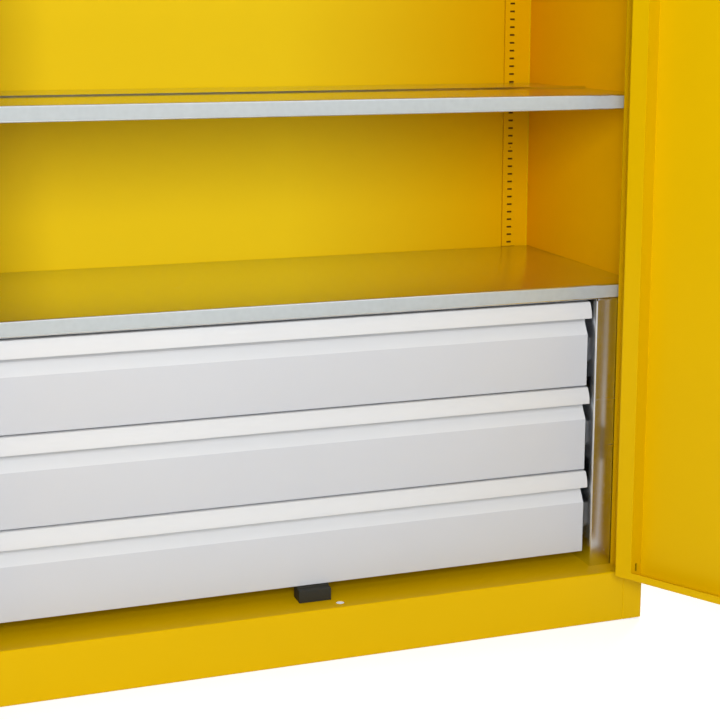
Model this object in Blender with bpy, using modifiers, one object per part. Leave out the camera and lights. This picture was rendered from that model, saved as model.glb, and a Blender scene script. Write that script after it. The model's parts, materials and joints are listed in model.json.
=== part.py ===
"""Heavy-duty steel cabinet: two hinged doors, three full-width drawers, three adjustable shelves.

All lengths are in metres. X runs to the right, Y runs into the cabinet and Z runs up. The pieces are
placed with the carcass front on the plane Y = 0 and the cabinet's middle on X = 0. At the end the whole
cabinet is shifted so that the origin lies under the middle of its box, doors open as at rest.
"""

import bmesh
import bpy
import math

# Carcass
CABINET_WIDTH = 1.2
CABINET_DEPTH = 0.5
CABINET_HEIGHT = 1.95
SHEET = 0.0012
BEND_RADIUS = 0.0025
SEAT_GAP = 0.0003
STILE_WIDTH = 0.0375
STOP_FLANGE = 0.0062
REAR_FLANGE = 0.022
TOP_RAIL = 0.03
SIDE_LIFT = 0.0022
PLINTH_LIFT = 0.0012
FLOOR_HEIGHT = 0.092
PLINTH_RETURN = 0.012
BASE_REAR_FLANGE = 0.04
BACK_LIFT = 0.02
DRAIN_RADIUS = 0.003
DRAIN_INSET = 0.018
DRAIN_SETBACK = 0.0095

# Feet
FOOT_SHEET = 0.002
FOOT_UPSTAND = 0.03
FOOT_MARGIN = 0.003
GLIDE_RADIUS = 0.006
GLIDE_FRONT = 0.01
GLIDE_REAR = 0.02

# Slotted strips that carry the shelves
STRIP_WIDTH = 0.0295
STRIP_INSET = 0.043
STRIP_DEPTH = 0.005
FRONT_STRIP_REACH = 0.019
FRONT_STRIP_LAP = 0.0053
SLOT_WIDTH = 0.01
SLOT_HEIGHT = 0.0035
SLOT_PITCH = 0.015

# Shelves
FITTINGS_CLEARANCE = 0.0015
SHELF_LIP = 0.0255
SHELF_RETURN = 0.012
SHELF_PLAY = 0.001
COVER_CLEARANCE = 0.005
FIRST_SHELF_RISE = 0.3215
SHELF_STEPS = 23
SHELF_COUNT = 3
BEAD_SETBACK = 0.218
BEAD_WIDTH = 0.02
BEAD_HEIGHT = 0.0035
BAR_SHEET = 0.002
BAR_WIDTH = 0.038
BAR_UPSTAND = 0.018
BAR_WALL_PLAY = 0.0088
HOOK_PLAY = 0.0006
HOOK_REACH = 0.0025
HOOK_DROP = 0.0131
HOOK_TAB = 0.002

# Drawer housing
HOUSING_INSET = 0.0459
HOUSING_SHEET = 0.0015
HOUSING_END_GAP = 0.009
HOUSING_REAR_FLANGE = 0.044

# Drawers
DRAWER_COUNT = 3
DRAWER_PITCH = 0.15
DRAWER_GAP = 0.002
DRAWER_FLOOR_GAP = 0.025
DRAWER_SIDE_GAP = 0.0091
BEVEL_DEPTH = 0.0134
BEVEL_TOP = 0.037
BEVEL_BOTTOM = 0.0584
DRAWER_SHEET = 0.0012
BOX_LIFT = 0.008
BOX_HEIGHT = 0.11
HANDLE_SHEET = 0.0018
HANDLE_HEIGHT = 0.0274
HANDLE_TOP_REACH = 0.004
HANDLE_REACH = 0.0123
HANDLE_PROUD = 0.001
HANDLE_CROWN = 0.0026
HANDLE_LEG = 0.022

# Runners
RUNNER_SHEET = 0.0012
RUNNER_HEIGHT = 0.045
RUNNER_DEPTH = 0.01
RUNNER_SETBACK = 0.02
RUNNER_REAR_GAP = 0.0127
RUNNER_PLAY = 0.0004
RAIL_DEPTH = 0.009
RUNNER_LEVEL = 0.06

# Doors
DOOR_THICKNESS = 0.034
DOOR_SHEET = 0.0012
DOOR_SIDE_GAP = 0.002
DOOR_MEETING_GAP = 0.002
DOOR_END_GAP = 0.003
DOOR_BEVEL = 0.0012
DOOR_BOX_WIDTH = 0.03
DOOR_FREE_LIP = 0.015
DOOR_END_LIP = 0.013
DOOR_OPEN_DEGREES = 120.0
DOOR_SLOT_WIDTH = 0.006
DOOR_SLOT_HEIGHT = 0.014
DOOR_SLOT_LIFT = 0.012

# Hinges
HINGE_OFFSET = 0.001
HINGE_STANDOFF = 0.0045
HINGE_RADIUS = 0.004
HINGE_PIN_RADIUS = 0.0022
HINGE_HALF_HEIGHT = 0.032
HINGE_LEAF_WIDTH = 0.024
HINGE_LEAF_SHEET = 0.0015
HINGE_MARGIN = 0.165
HINGE_PLAY = 0.0003

# Lock on the right door
LOCK_X = 0.0487
LOCK_Y = 0.021
LOCK_LEVEL = 1.0
LOCK_CASE_WIDTH = 0.05
LOCK_CASE_HEIGHT = 0.12
LOCK_CASE_DEPTH = 0.0275
ROD_RADIUS = 0.005
ROD_PLAY = 0.0005
ROD_BORE = 0.035
ROD_GRIP = 0.03
ROD_TIP_INSET = 0.0005
ROD_HOLE_RADIUS = 0.007
SPINDLE_RADIUS = 0.0045
SPINDLE_PLAY = 0.0004
SPINDLE_DEPTH = 0.02
PLATE_WIDTH = 0.038
PLATE_HEIGHT = 0.12
PLATE_SHEET = 0.003
LEVER_HUB_RADIUS = 0.011
LEVER_HUB_LENGTH = 0.012
LEVER_LENGTH = 0.11
LEVER_HEIGHT = 0.016
LEVER_THICKNESS = 0.008
LEVER_BEVEL = 0.003

# Stop block on the floor, behind the doors
STOP_WIDTH = 0.055
STOP_OFFSET = 0.0105
STOP_FRONT_DROP = 0.003
STOP_HEADROOM = 0.0007
STOP_DEPTH = 0.032
STOP_STEP = 0.012
STOP_CLEARANCE = 0.002

# Finishes: colour, roughness and how metallic it is
YELLOW = ((0.84, 0.46, 0.0), 0.45, 0.0)
ZINC = ((0.55, 0.58, 0.61), 0.3, 1.0)
GREY = ((0.62, 0.62, 0.6), 0.5, 0.0)
STEEL = ((0.45, 0.46, 0.48), 0.35, 1.0)
BLACK = ((0.02, 0.018, 0.016), 0.5, 0.0)

# Modelling
OVERRUN = 0.01
WELD = 0.00001
BEND_STEPS = 2
ROUND_STEPS = 24
CROWN_STEPS = 6
SHADE_DEGREES = 30.0

HALF_WIDTH = CABINET_WIDTH / 2
FRAME_HALF = HALF_WIDTH - STILE_WIDTH
INNER_HALF = HALF_WIDTH - SHEET - SEAT_GAP
REBATE_DEPTH = DOOR_THICKNESS + STOP_CLEARANCE
FITTINGS_SETBACK = REBATE_DEPTH + SHEET + FITTINGS_CLEARANCE
FRONT_STRIP_BACK = FITTINGS_SETBACK + FRONT_STRIP_LAP
BACK_FACE = CABINET_DEPTH - SHEET - SEAT_GAP - SHEET
FITTINGS_BACK = BACK_FACE - SEAT_GAP - STRIP_DEPTH - SEAT_GAP
DRAWER_BOTTOM = FLOOR_HEIGHT + DRAWER_FLOOR_GAP
DRAWERS_TOP = DRAWER_BOTTOM + DRAWER_COUNT * DRAWER_PITCH - DRAWER_GAP
COVER_TOP = DRAWERS_TOP + COVER_CLEARANCE + SHELF_LIP
FIRST_SHELF_TOP = COVER_TOP + FIRST_SHELF_RISE
HOUSING_HALF = FRAME_HALF - HOUSING_INSET
HOUSING_BACK = FITTINGS_BACK - HOUSING_END_GAP
DRAWER_FACE = FITTINGS_SETBACK + HANDLE_REACH - HANDLE_PROUD
RUNNER_START = DRAWER_FACE + RUNNER_SETBACK
RUNNER_END = HOUSING_BACK - RUNNER_REAR_GAP
DRAWER_HALF = HOUSING_HALF - DRAWER_SIDE_GAP
DRAWER_HEIGHT = DRAWER_PITCH - DRAWER_GAP
FRONT_DEPTH = BEVEL_DEPTH + DRAWER_SHEET
RAIL_FACE = HOUSING_HALF - SEAT_GAP - 2 * RUNNER_SHEET - 2 * RUNNER_PLAY
BOX_HALF = RAIL_FACE - RAIL_DEPTH
BOX_FRONT = DRAWER_FACE + FRONT_DEPTH + SEAT_GAP
HINGE_X = FRAME_HALF + HINGE_OFFSET
HINGE_Y = -HINGE_STANDOFF
DOOR_BOTTOM = FLOOR_HEIGHT + DOOR_END_GAP
DOOR_TOP = CABINET_HEIGHT - TOP_RAIL - DOOR_END_GAP
DOOR_EDGE = FRAME_HALF - DOOR_SIDE_GAP
HINGE_HEIGHT = 2 * HINGE_HALF_HEIGHT + SEAT_GAP
HINGE_LEVELS = (DOOR_BOTTOM + HINGE_MARGIN, DOOR_TOP - HINGE_MARGIN - HINGE_HEIGHT)
STOP_REAR_HEIGHT = DRAWER_FLOOR_GAP - SEAT_GAP - STOP_HEADROOM
STOP_FRONT_HEIGHT = STOP_REAR_HEIGHT - STOP_FRONT_DROP
SHELF_STEP = SHELF_STEPS * SLOT_PITCH
SIDES = {"left": -1, "right": 1}


def clear_scene():
    for old in list(bpy.data.objects):
        bpy.data.objects.remove(old, do_unlink=True)


def new_collection(name):
    collection = bpy.data.collections.new(name)
    bpy.context.scene.collection.children.link(collection)
    return collection


def new_material(name, color, roughness, metallic):
    material = bpy.data.materials.new(name)
    material.use_nodes = True
    shader = material.node_tree.nodes["Principled BSDF"]
    shader.inputs["Base Color"].default_value = (*color, 1.0)
    shader.inputs["Roughness"].default_value = roughness
    shader.inputs["Metallic"].default_value = metallic
    return material


class Shop:
    """Makes named pieces, places them under a parent and keeps cutters apart."""

    def __init__(self, parts, cutters):
        self.parts = parts
        self.cutters = cutters
        self.root = self.empty("cabinet_frame", (0, 0, 0), None)

    def empty(self, name, place, parent, turn_degrees=0):
        holder = bpy.data.objects.new(name, None)
        self.cutters.objects.link(holder)
        holder.parent = parent
        holder.location = place
        holder.rotation_euler = (0, 0, math.radians(turn_degrees))
        return holder

    def place(self, name, mesh, parent, location, turn, finish, smooth=False):
        piece = bpy.data.objects.new(name, mesh)
        self.parts.objects.link(piece)
        piece.parent = parent or self.root
        piece.location = location
        piece.rotation_euler = turn
        mesh.materials.clear()
        mesh.materials.append(new_material(name + "_finish", *finish))
        if smooth:
            mesh.shade_smooth()
            mesh.set_sharp_from_angle(angle=math.radians(SHADE_DEGREES))
        return piece

    def block(self, name, low, high, finish, parent=None):
        """A box between two corners, its origin at its middle."""
        middle = [(a + b) / 2 for a, b in zip(low, high)]
        mesh = bpy.data.meshes.new(name)
        shape = bmesh.new()
        add_box(shape, [a - m for a, m in zip(low, middle)], [b - m for b, m in zip(high, middle)])
        shape.to_mesh(mesh)
        shape.free()
        return self.place(name, mesh, parent, middle, (0, 0, 0), finish)

    def prism(self, name, outline, low, high, along, finish, parent=None, smooth=False):
        """A flat outline extruded from low to high along X, Y or Z."""
        turns = {
            "X": (math.pi / 2, 0, math.pi / 2),
            "Y": (math.pi / 2, 0, 0),
            "Z": (0, 0, 0),
        }
        places = {
            "X": ((low + high) / 2, 0, 0),
            "Y": (0, (low + high) / 2, 0),
            "Z": (0, 0, (low + high) / 2),
        }
        curve = bpy.data.curves.new(name, "CURVE")
        curve.dimensions = "2D"
        curve.fill_mode = "BOTH"
        curve.extrude = (high - low) / 2
        spline = curve.splines.new("POLY")
        spline.points.add(len(outline) - 1)
        for point, (x, y) in zip(spline.points, outline):
            point.co = (x, y, 0, 1)
        spline.use_cyclic_u = True
        guide = bpy.data.objects.new(name + "_outline", curve)
        self.cutters.objects.link(guide)
        mesh = bpy.data.meshes.new_from_object(guide.evaluated_get(bpy.context.evaluated_depsgraph_get()))
        bpy.data.objects.remove(guide, do_unlink=True)
        mesh.name = name
        shape = bmesh.new()
        shape.from_mesh(mesh)
        bmesh.ops.remove_doubles(shape, verts=shape.verts, dist=WELD)
        bmesh.ops.recalc_face_normals(shape, faces=shape.faces)
        shape.to_mesh(mesh)
        shape.free()
        return self.place(name, mesh, parent, places[along], turns[along], finish, smooth)

    def tool(self, target, name, boxes=(), drums=(), kind="DIFFERENCE"):
        """Cuts boxes and drums out of a piece, or joins them to it, in its parent's frame."""
        mesh = bpy.data.meshes.new(name)
        shape = bmesh.new()
        for low, high in boxes:
            add_box(shape, low, high)
        for start, end, radius in drums:
            add_drum(shape, start, end, radius)
        shape.to_mesh(mesh)
        shape.free()
        cutter = bpy.data.objects.new(name, mesh)
        self.apply_tool(target, cutter, kind)
        return cutter

    def apply_tool(self, target, cutter, kind="DIFFERENCE"):
        if cutter.name not in self.cutters.objects:
            for owner in list(cutter.users_collection):
                owner.objects.unlink(cutter)
            self.cutters.objects.link(cutter)
        cutter.parent = target.parent
        cutter.hide_render = True
        cutter.display_type = "WIRE"
        change = target.modifiers.new(cutter.name, "BOOLEAN")
        change.operation = kind
        change.solver = "EXACT"
        change.object = cutter


def add_box(shape, low, high):
    made = bmesh.ops.create_cube(shape, size=1.0)["verts"]
    for vert in made:
        vert.co = [(a + b) / 2 + c * (b - a) for a, b, c in zip(low, high, vert.co)]


def add_drum(shape, start, end, radius):
    """A cylinder between two points on a line along X, Y or Z."""
    made = bmesh.ops.create_cone(
        shape,
        cap_ends=True,
        segments=ROUND_STEPS,
        radius1=radius,
        radius2=radius,
        depth=max(abs(b - a) for a, b in zip(start, end)),
    )["verts"]
    middle = [(a + b) / 2 for a, b in zip(start, end)]
    for vert in made:
        x, y, z = vert.co
        if start[1] != end[1]:
            x, y, z = x, z, -y
        elif start[0] != end[0]:
            x, y, z = z, y, -x
        vert.co = (middle[0] + x, middle[1] + y, middle[2] + z)


def mirrored(outline, side):
    return [(side * x, y) for x, y in outline]


def side_box(side, low, high):
    """A box given for the right side, moved to the left side where side is -1."""
    xs = sorted((side * low[0], side * high[0]))
    return (xs[0], low[1], low[2]), (xs[1], high[1], high[2])


def rounded(path, radius, steps=BEND_STEPS):
    """Replaces each inner corner of a path by an arc."""
    points = [path[0]]
    for before, corner, after in zip(path, path[1:], path[2:]):
        to_before = (before[0] - corner[0], before[1] - corner[1])
        to_after = (after[0] - corner[0], after[1] - corner[1])
        length_before = math.hypot(*to_before)
        length_after = math.hypot(*to_after)
        u = (to_before[0] / length_before, to_before[1] / length_before)
        v = (to_after[0] / length_after, to_after[1] / length_after)
        half = math.acos(max(-1, min(1, u[0] * v[0] + u[1] * v[1]))) / 2
        bend = min(radius, math.tan(half) * min(length_before, length_after) / 2)
        setback = bend / math.tan(half)
        bisector = (u[0] + v[0], u[1] + v[1])
        size = math.hypot(*bisector)
        reach = bend / math.sin(half)
        centre = (corner[0] + bisector[0] / size * reach, corner[1] + bisector[1] / size * reach)
        start = (corner[0] + u[0] * setback, corner[1] + u[1] * setback)
        end = (corner[0] + v[0] * setback, corner[1] + v[1] * setback)
        first = math.atan2(start[1] - centre[1], start[0] - centre[0])
        last = math.atan2(end[1] - centre[1], end[0] - centre[0])
        sweep = (last - first + math.pi) % (2 * math.pi) - math.pi
        for step in range(steps + 1):
            angle = first + sweep * step / steps
            points.append((centre[0] + bend * math.cos(angle), centre[1] + bend * math.sin(angle)))
    points.append(path[-1])
    return points


def offset(path, distance):
    """A path moved sideways, to its left for a positive distance, with mitred corners."""
    directions = []
    for (x0, y0), (x1, y1) in zip(path, path[1:]):
        length = math.hypot(x1 - x0, y1 - y0)
        directions.append(((x1 - x0) / length, (y1 - y0) / length))
    moved = []
    for index, (x, y) in enumerate(path):
        a = directions[max(index - 1, 0)]
        b = directions[min(index, len(directions) - 1)]
        normal = (-(a[1] + b[1]), a[0] + b[0])
        scale = distance * 2 / (normal[0] ** 2 + normal[1] ** 2)
        moved.append((x + normal[0] * scale, y + normal[1] * scale))
    return moved


def folded(path, thickness, radius=BEND_RADIUS, sharp=0):
    """The closed outline of a bent sheet: its outer face is the path, and it lies to the left.

    The first corners, as many as sharp says, stay square.
    """
    outer = path[:sharp] + rounded(path[sharp:], radius) if radius else path
    return outer + offset(outer, thickness)[::-1]


def make_side_walls(shop):
    path = [
        (FRAME_HALF - STOP_FLANGE, REBATE_DEPTH),
        (FRAME_HALF, REBATE_DEPTH),
        (FRAME_HALF, 0),
        (HALF_WIDTH, 0),
        (HALF_WIDTH, CABINET_DEPTH),
        (HALF_WIDTH - REAR_FLANGE, CABINET_DEPTH),
    ]
    for name, side in SIDES.items():
        shop.prism(
            f"side_wall_{name}",
            mirrored(folded(path, SHEET, sharp=1), side),
            SIDE_LIFT,
            CABINET_HEIGHT - SHEET - SEAT_GAP,
            "Z",
            YELLOW,
        )


def make_back_panel(shop):
    half = INNER_HALF - BEND_RADIUS
    shop.block(
        "back_panel",
        (-half, BACK_FACE, BACK_LIFT),
        (half, BACK_FACE + SHEET, CABINET_HEIGHT - SHEET - BEND_RADIUS),
        YELLOW,
    )


def make_top_panel(shop):
    rail = CABINET_HEIGHT - TOP_RAIL
    path = [
        (REBATE_DEPTH, rail - STOP_FLANGE),
        (REBATE_DEPTH, rail),
        (0, rail),
        (0, CABINET_HEIGHT),
        (CABINET_DEPTH, CABINET_HEIGHT),
        (CABINET_DEPTH, CABINET_HEIGHT - REAR_FLANGE),
    ]
    panel = shop.prism(
        "top_panel", folded(path, -SHEET, sharp=1), -HALF_WIDTH, HALF_WIDTH, "X", YELLOW
    )
    ends = [
        side_box(
            side,
            (FRAME_HALF - SEAT_GAP, -OVERRUN, rail - STOP_FLANGE - OVERRUN),
            (HALF_WIDTH + OVERRUN, CABINET_DEPTH + OVERRUN, CABINET_HEIGHT - SHEET),
        )
        for side in SIDES.values()
    ]
    flange_slots = [
        side_box(
            side,
            (FRAME_HALF - STOP_FLANGE - SEAT_GAP, REBATE_DEPTH - SEAT_GAP, rail - STOP_FLANGE - OVERRUN),
            (FRAME_HALF + OVERRUN, REBATE_DEPTH + SHEET + SEAT_GAP, CABINET_HEIGHT - SHEET),
        )
        for side in SIDES.values()
    ]
    shop.tool(panel, "top_panel_ends", boxes=ends)
    shop.tool(panel, "top_panel_flange_slots", boxes=flange_slots)
    hole = [((LOCK_X, LOCK_Y, rail - OVERRUN), (LOCK_X, LOCK_Y, rail + OVERRUN), ROD_HOLE_RADIUS)]
    shop.tool(panel, "top_panel_rod_hole", drums=hole)


def make_base_pan(shop):
    back = BACK_FACE - SEAT_GAP
    path = [
        (PLINTH_RETURN, PLINTH_LIFT),
        (0, PLINTH_LIFT),
        (0, FLOOR_HEIGHT),
        (back, FLOOR_HEIGHT),
        (back, FLOOR_HEIGHT - BASE_REAR_FLANGE),
    ]
    pan = shop.prism("base_pan", folded(path, -SHEET), -INNER_HALF, INNER_HALF, "X", YELLOW)
    notches = [
        side_box(
            side,
            (FRAME_HALF - SEAT_GAP, -OVERRUN, -OVERRUN),
            (HALF_WIDTH + OVERRUN, REBATE_DEPTH + SHEET + SEAT_GAP, FLOOR_HEIGHT + OVERRUN),
        )
        for side in SIDES.values()
    ]
    slots = [
        side_box(
            side,
            (FRAME_HALF - STOP_FLANGE - SEAT_GAP, REBATE_DEPTH - SEAT_GAP, -OVERRUN),
            (FRAME_HALF + OVERRUN, REBATE_DEPTH + SHEET + SEAT_GAP, FLOOR_HEIGHT + OVERRUN),
        )
        for side in SIDES.values()
    ]
    shop.tool(pan, "base_pan_notches", boxes=notches)
    shop.tool(pan, "base_pan_flange_slots", boxes=slots)
    low = FLOOR_HEIGHT - OVERRUN
    high = FLOOR_HEIGHT + OVERRUN
    holes = [((LOCK_X, LOCK_Y, low), (LOCK_X, LOCK_Y, high), ROD_HOLE_RADIUS)]
    for side in SIDES.values():
        x = side * (FRAME_HALF - DRAIN_INSET)
        holes.append(((x, DRAIN_SETBACK, low), (x, DRAIN_SETBACK, high), DRAIN_RADIUS))
    shop.tool(pan, "base_pan_holes", drums=holes)


def make_foot_bars(shop):
    inner = FRAME_HALF + SHEET + SEAT_GAP
    low = SIDE_LIFT + SEAT_GAP
    for name, side in SIDES.items():
        outline = mirrored(
            [
                (inner, low),
                (INNER_HALF, low),
                (INNER_HALF, low + FOOT_UPSTAND),
                (INNER_HALF - FOOT_SHEET, low + FOOT_UPSTAND),
                (INNER_HALF - FOOT_SHEET, low + FOOT_SHEET),
                (inner, low + FOOT_SHEET),
            ],
            side,
        )
        bar = shop.prism(
            f"foot_bar_{name}", outline, FOOT_MARGIN, BACK_FACE - FOOT_MARGIN, "Y", STEEL
        )
        x = side * (inner + INNER_HALF - FOOT_SHEET) / 2
        glides = [
            ((x, y, 0), (x, y, low + FOOT_SHEET / 2), GLIDE_RADIUS)
            for y in (GLIDE_FRONT, BACK_FACE - GLIDE_REAR)
        ]
        shop.tool(bar, f"foot_bar_{name}_glides", drums=glides, kind="UNION")


def hook_level(top):
    """The middle height of the hooks that carry a shelf whose top is given."""
    return top - HOOK_DROP


def shelf_tops():
    return [FIRST_SHELF_TOP + SHELF_STEP * index for index in range(SHELF_COUNT)]


def strip_slots(x, y_low, y_high):
    boxes = []
    for top in shelf_tops():
        z = hook_level(top)
        boxes.append(
            (
                (x - SLOT_WIDTH / 2, y_low, z - SLOT_HEIGHT / 2),
                (x + SLOT_WIDTH / 2, y_high, z + SLOT_HEIGHT / 2),
            )
        )
    return boxes


def back_strip_middle():
    return HALF_WIDTH - STRIP_INSET


def front_strip_middle():
    return (FRAME_HALF + SHEET + INNER_HALF + SEAT_GAP) / 2


def make_strips(shop):
    low = COVER_TOP + SEAT_GAP
    high = CABINET_HEIGHT - SHEET - SEAT_GAP
    rear = BACK_FACE - SEAT_GAP
    web = rear - STRIP_DEPTH
    middle = back_strip_middle()
    back_path = [
        (middle - STRIP_WIDTH / 2, rear),
        (middle - STRIP_WIDTH / 2, web),
        (middle + STRIP_WIDTH / 2, web),
        (middle + STRIP_WIDTH / 2, rear),
    ]
    left_edge = FRAME_HALF + SHEET + SEAT_GAP
    front = FRONT_STRIP_BACK - FRONT_STRIP_REACH
    front_path = [
        (INNER_HALF, front),
        (INNER_HALF, FRONT_STRIP_BACK),
        (left_edge, FRONT_STRIP_BACK),
        (left_edge, front),
    ]
    for name, side in SIDES.items():
        strip = shop.prism(
            f"back_strip_{name}", mirrored(folded(back_path, SHEET, 0), side), low, high, "Z", YELLOW
        )
        slots = strip_slots(side * middle, web - OVERRUN, web + STRIP_DEPTH / 2)
        shop.tool(strip, f"back_strip_{name}_slots", boxes=slots)
        strip = shop.prism(
            f"front_strip_{name}", mirrored(folded(front_path, SHEET, 0), side), low, high, "Z", YELLOW
        )
        slots = strip_slots(
            side * front_strip_middle(), FRONT_STRIP_BACK - FRONT_STRIP_REACH / 2, FRONT_STRIP_BACK + OVERRUN
        )
        shop.tool(strip, f"front_strip_{name}_slots", boxes=slots)


def shelf_path(top, bead):
    bottom = top - SHELF_LIP
    front = FITTINGS_SETBACK
    path = [(front + SHELF_RETURN, bottom), (front, bottom), (front, top)]
    if bead:
        start = front + BEAD_SETBACK
        path += [
            (start, top),
            (start + BEAD_HEIGHT, top + BEAD_HEIGHT),
            (start + BEAD_WIDTH - BEAD_HEIGHT, top + BEAD_HEIGHT),
            (start + BEAD_WIDTH, top),
        ]
    path += [(FITTINGS_BACK, top), (FITTINGS_BACK, bottom), (FITTINGS_BACK - SHELF_RETURN, bottom)]
    return path


def cut_front_corners(shop, shelf, top):
    """Cuts a shelf clear of the two front strips."""
    corners = [
        side_box(
            side,
            (FRAME_HALF - SEAT_GAP, FITTINGS_SETBACK - OVERRUN, top - SHELF_LIP - OVERRUN),
            (HALF_WIDTH, FRONT_STRIP_BACK + SHELF_PLAY, top + OVERRUN),
        )
        for side in SIDES.values()
    ]
    shop.tool(shelf, f"{shelf.name}_front_corners", boxes=corners)


def make_shelves(shop):
    half = HALF_WIDTH - SHEET - SHELF_PLAY
    cover = shop.prism(
        "cover_shelf", folded(shelf_path(COVER_TOP, False), -SHEET), -half, half, "X", ZINC
    )
    cut_front_corners(shop, cover, COVER_TOP)
    for index, top in enumerate(shelf_tops(), 1):
        shelf = shop.prism(
            f"shelf_{index}", folded(shelf_path(top, True), -SHEET), -half, half, "X", ZINC
        )
        cut_front_corners(shop, shelf, top)
        inner = INNER_HALF - BAR_WALL_PLAY - BAR_WIDTH
        back_corners = [
            side_box(
                side,
                (
                    inner - SHELF_RETURN,
                    FITTINGS_BACK - SHELF_RETURN - SHELF_PLAY,
                    top - SHELF_LIP - OVERRUN,
                ),
                (HALF_WIDTH, FITTINGS_BACK + OVERRUN, top - SHEET),
            )
            for side in SIDES.values()
        ]
        shop.tool(shelf, f"shelf_{index}_back_corners", boxes=back_corners)


def make_shelf_bars(shop):
    outer = INNER_HALF - BAR_WALL_PLAY
    front = FRONT_STRIP_BACK + SEAT_GAP
    hook_half = (SLOT_WIDTH - HOOK_PLAY) / 2
    hook_rise = (SLOT_HEIGHT - HOOK_PLAY) / 2
    for index, top in enumerate(shelf_tops(), 1):
        seat = top - SHEET - SEAT_GAP
        z = hook_level(top)
        for name, side in SIDES.items():
            outline = mirrored(
                [
                    (outer - BAR_WIDTH, seat),
                    (outer, seat),
                    (outer, seat - BAR_UPSTAND),
                    (outer - BAR_SHEET, seat - BAR_UPSTAND),
                    (outer - BAR_SHEET, seat - BAR_SHEET),
                    (outer - BAR_WIDTH, seat - BAR_SHEET),
                ],
                side,
            )
            bar = shop.prism(f"shelf_bar_{index}_{name}", outline, front, FITTINGS_BACK, "Y", STEEL)
            front_x = side * front_strip_middle()
            back_x = side * back_strip_middle()
            tabs = [
                (
                    (front_x - hook_half, front, z - hook_rise),
                    (front_x + hook_half, front + HOOK_TAB, seat - BAR_SHEET / 2),
                ),
                (
                    (back_x - hook_half, FITTINGS_BACK - HOOK_TAB, z - hook_rise),
                    (back_x + hook_half, FITTINGS_BACK, seat - BAR_SHEET / 2),
                ),
            ]
            hooks = [
                (
                    (front_x - hook_half, front - SEAT_GAP - SHEET - HOOK_REACH, z - hook_rise),
                    (front_x + hook_half, front + HOOK_TAB / 2, z + hook_rise),
                ),
                (
                    (back_x - hook_half, FITTINGS_BACK - HOOK_TAB / 2, z - hook_rise),
                    (back_x + hook_half, FITTINGS_BACK + SEAT_GAP + SHEET + HOOK_REACH, z + hook_rise),
                ),
            ]
            shop.tool(bar, f"shelf_bar_{index}_{name}_tabs", boxes=tabs, kind="UNION")
            shop.tool(bar, f"shelf_bar_{index}_{name}_hooks", boxes=hooks, kind="UNION")


def make_housing(shop):
    path = [
        (INNER_HALF, FITTINGS_SETBACK),
        (HOUSING_HALF, FITTINGS_SETBACK),
        (HOUSING_HALF, HOUSING_BACK),
        (HOUSING_HALF + HOUSING_REAR_FLANGE, HOUSING_BACK),
    ]
    for name, side in SIDES.items():
        shop.prism(
            f"drawer_housing_{name}",
            mirrored(folded(path, -HOUSING_SHEET), side),
            FLOOR_HEIGHT + SEAT_GAP,
            COVER_TOP - SHELF_LIP - SEAT_GAP,
            "Z",
            ZINC,
        )


def drawer_levels():
    """Bottom height of each drawer front, drawer 1 at the top."""
    return [DRAWER_BOTTOM + DRAWER_PITCH * (DRAWER_COUNT - 1 - index) for index in range(DRAWER_COUNT)]


def channel(outer_x, depth, level, height):
    """A C section open towards the cabinet's middle."""
    return [
        (outer_x - depth, level + height / 2),
        (outer_x, level + height / 2),
        (outer_x, level - height / 2),
        (outer_x - depth, level - height / 2),
    ]


def make_runners(shop, index, level, slide_holder):
    web = HOUSING_HALF - SEAT_GAP
    middle_web = web - RUNNER_SHEET - RUNNER_PLAY
    middle_height = RUNNER_HEIGHT - 2 * RUNNER_SHEET - 2 * RUNNER_PLAY
    middle_depth = RUNNER_DEPTH - RUNNER_SHEET - RUNNER_PLAY
    centre = level + RUNNER_LEVEL
    for name, side in SIDES.items():
        fixed = folded(channel(web, RUNNER_DEPTH, centre, RUNNER_HEIGHT), -RUNNER_SHEET, 0)
        shop.prism(
            f"runner_fixed_{index}_{name}", mirrored(fixed, side), RUNNER_START, RUNNER_END, "Y", STEEL
        )
        moving = folded(channel(middle_web, middle_depth, centre, middle_height), -RUNNER_SHEET, 0)
        shop.prism(
            f"runner_middle_{index}_{name}",
            mirrored(moving, side),
            RUNNER_START,
            RUNNER_END - RUNNER_DEPTH,
            "Y",
            STEEL,
            parent=slide_holder,
        )


def make_drawer_box(shop, index, level, holder):
    low = level + BOX_LIFT
    high = low + BOX_HEIGHT
    box = shop.block(
        f"drawer_box_{index}",
        (-BOX_HALF, BOX_FRONT, low),
        (BOX_HALF, RUNNER_END, high),
        GREY,
        parent=holder,
    )
    cavity = (
        (-BOX_HALF + DRAWER_SHEET, BOX_FRONT + DRAWER_SHEET, low + DRAWER_SHEET),
        (BOX_HALF - DRAWER_SHEET, RUNNER_END - DRAWER_SHEET, high + OVERRUN),
    )
    shop.tool(box, f"drawer_box_{index}_cavity", boxes=[cavity])
    rise = (RUNNER_HEIGHT - 4 * RUNNER_SHEET - 4 * RUNNER_PLAY) / 2
    centre = level + RUNNER_LEVEL
    rails = [
        side_box(
            side,
            (BOX_HALF - DRAWER_SHEET / 2, RUNNER_START, centre - rise),
            (RAIL_FACE, RUNNER_END - RUNNER_DEPTH, centre + rise),
        )
        for side in SIDES.values()
    ]
    shop.tool(box, f"drawer_box_{index}_rails", boxes=rails, kind="UNION")


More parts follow.
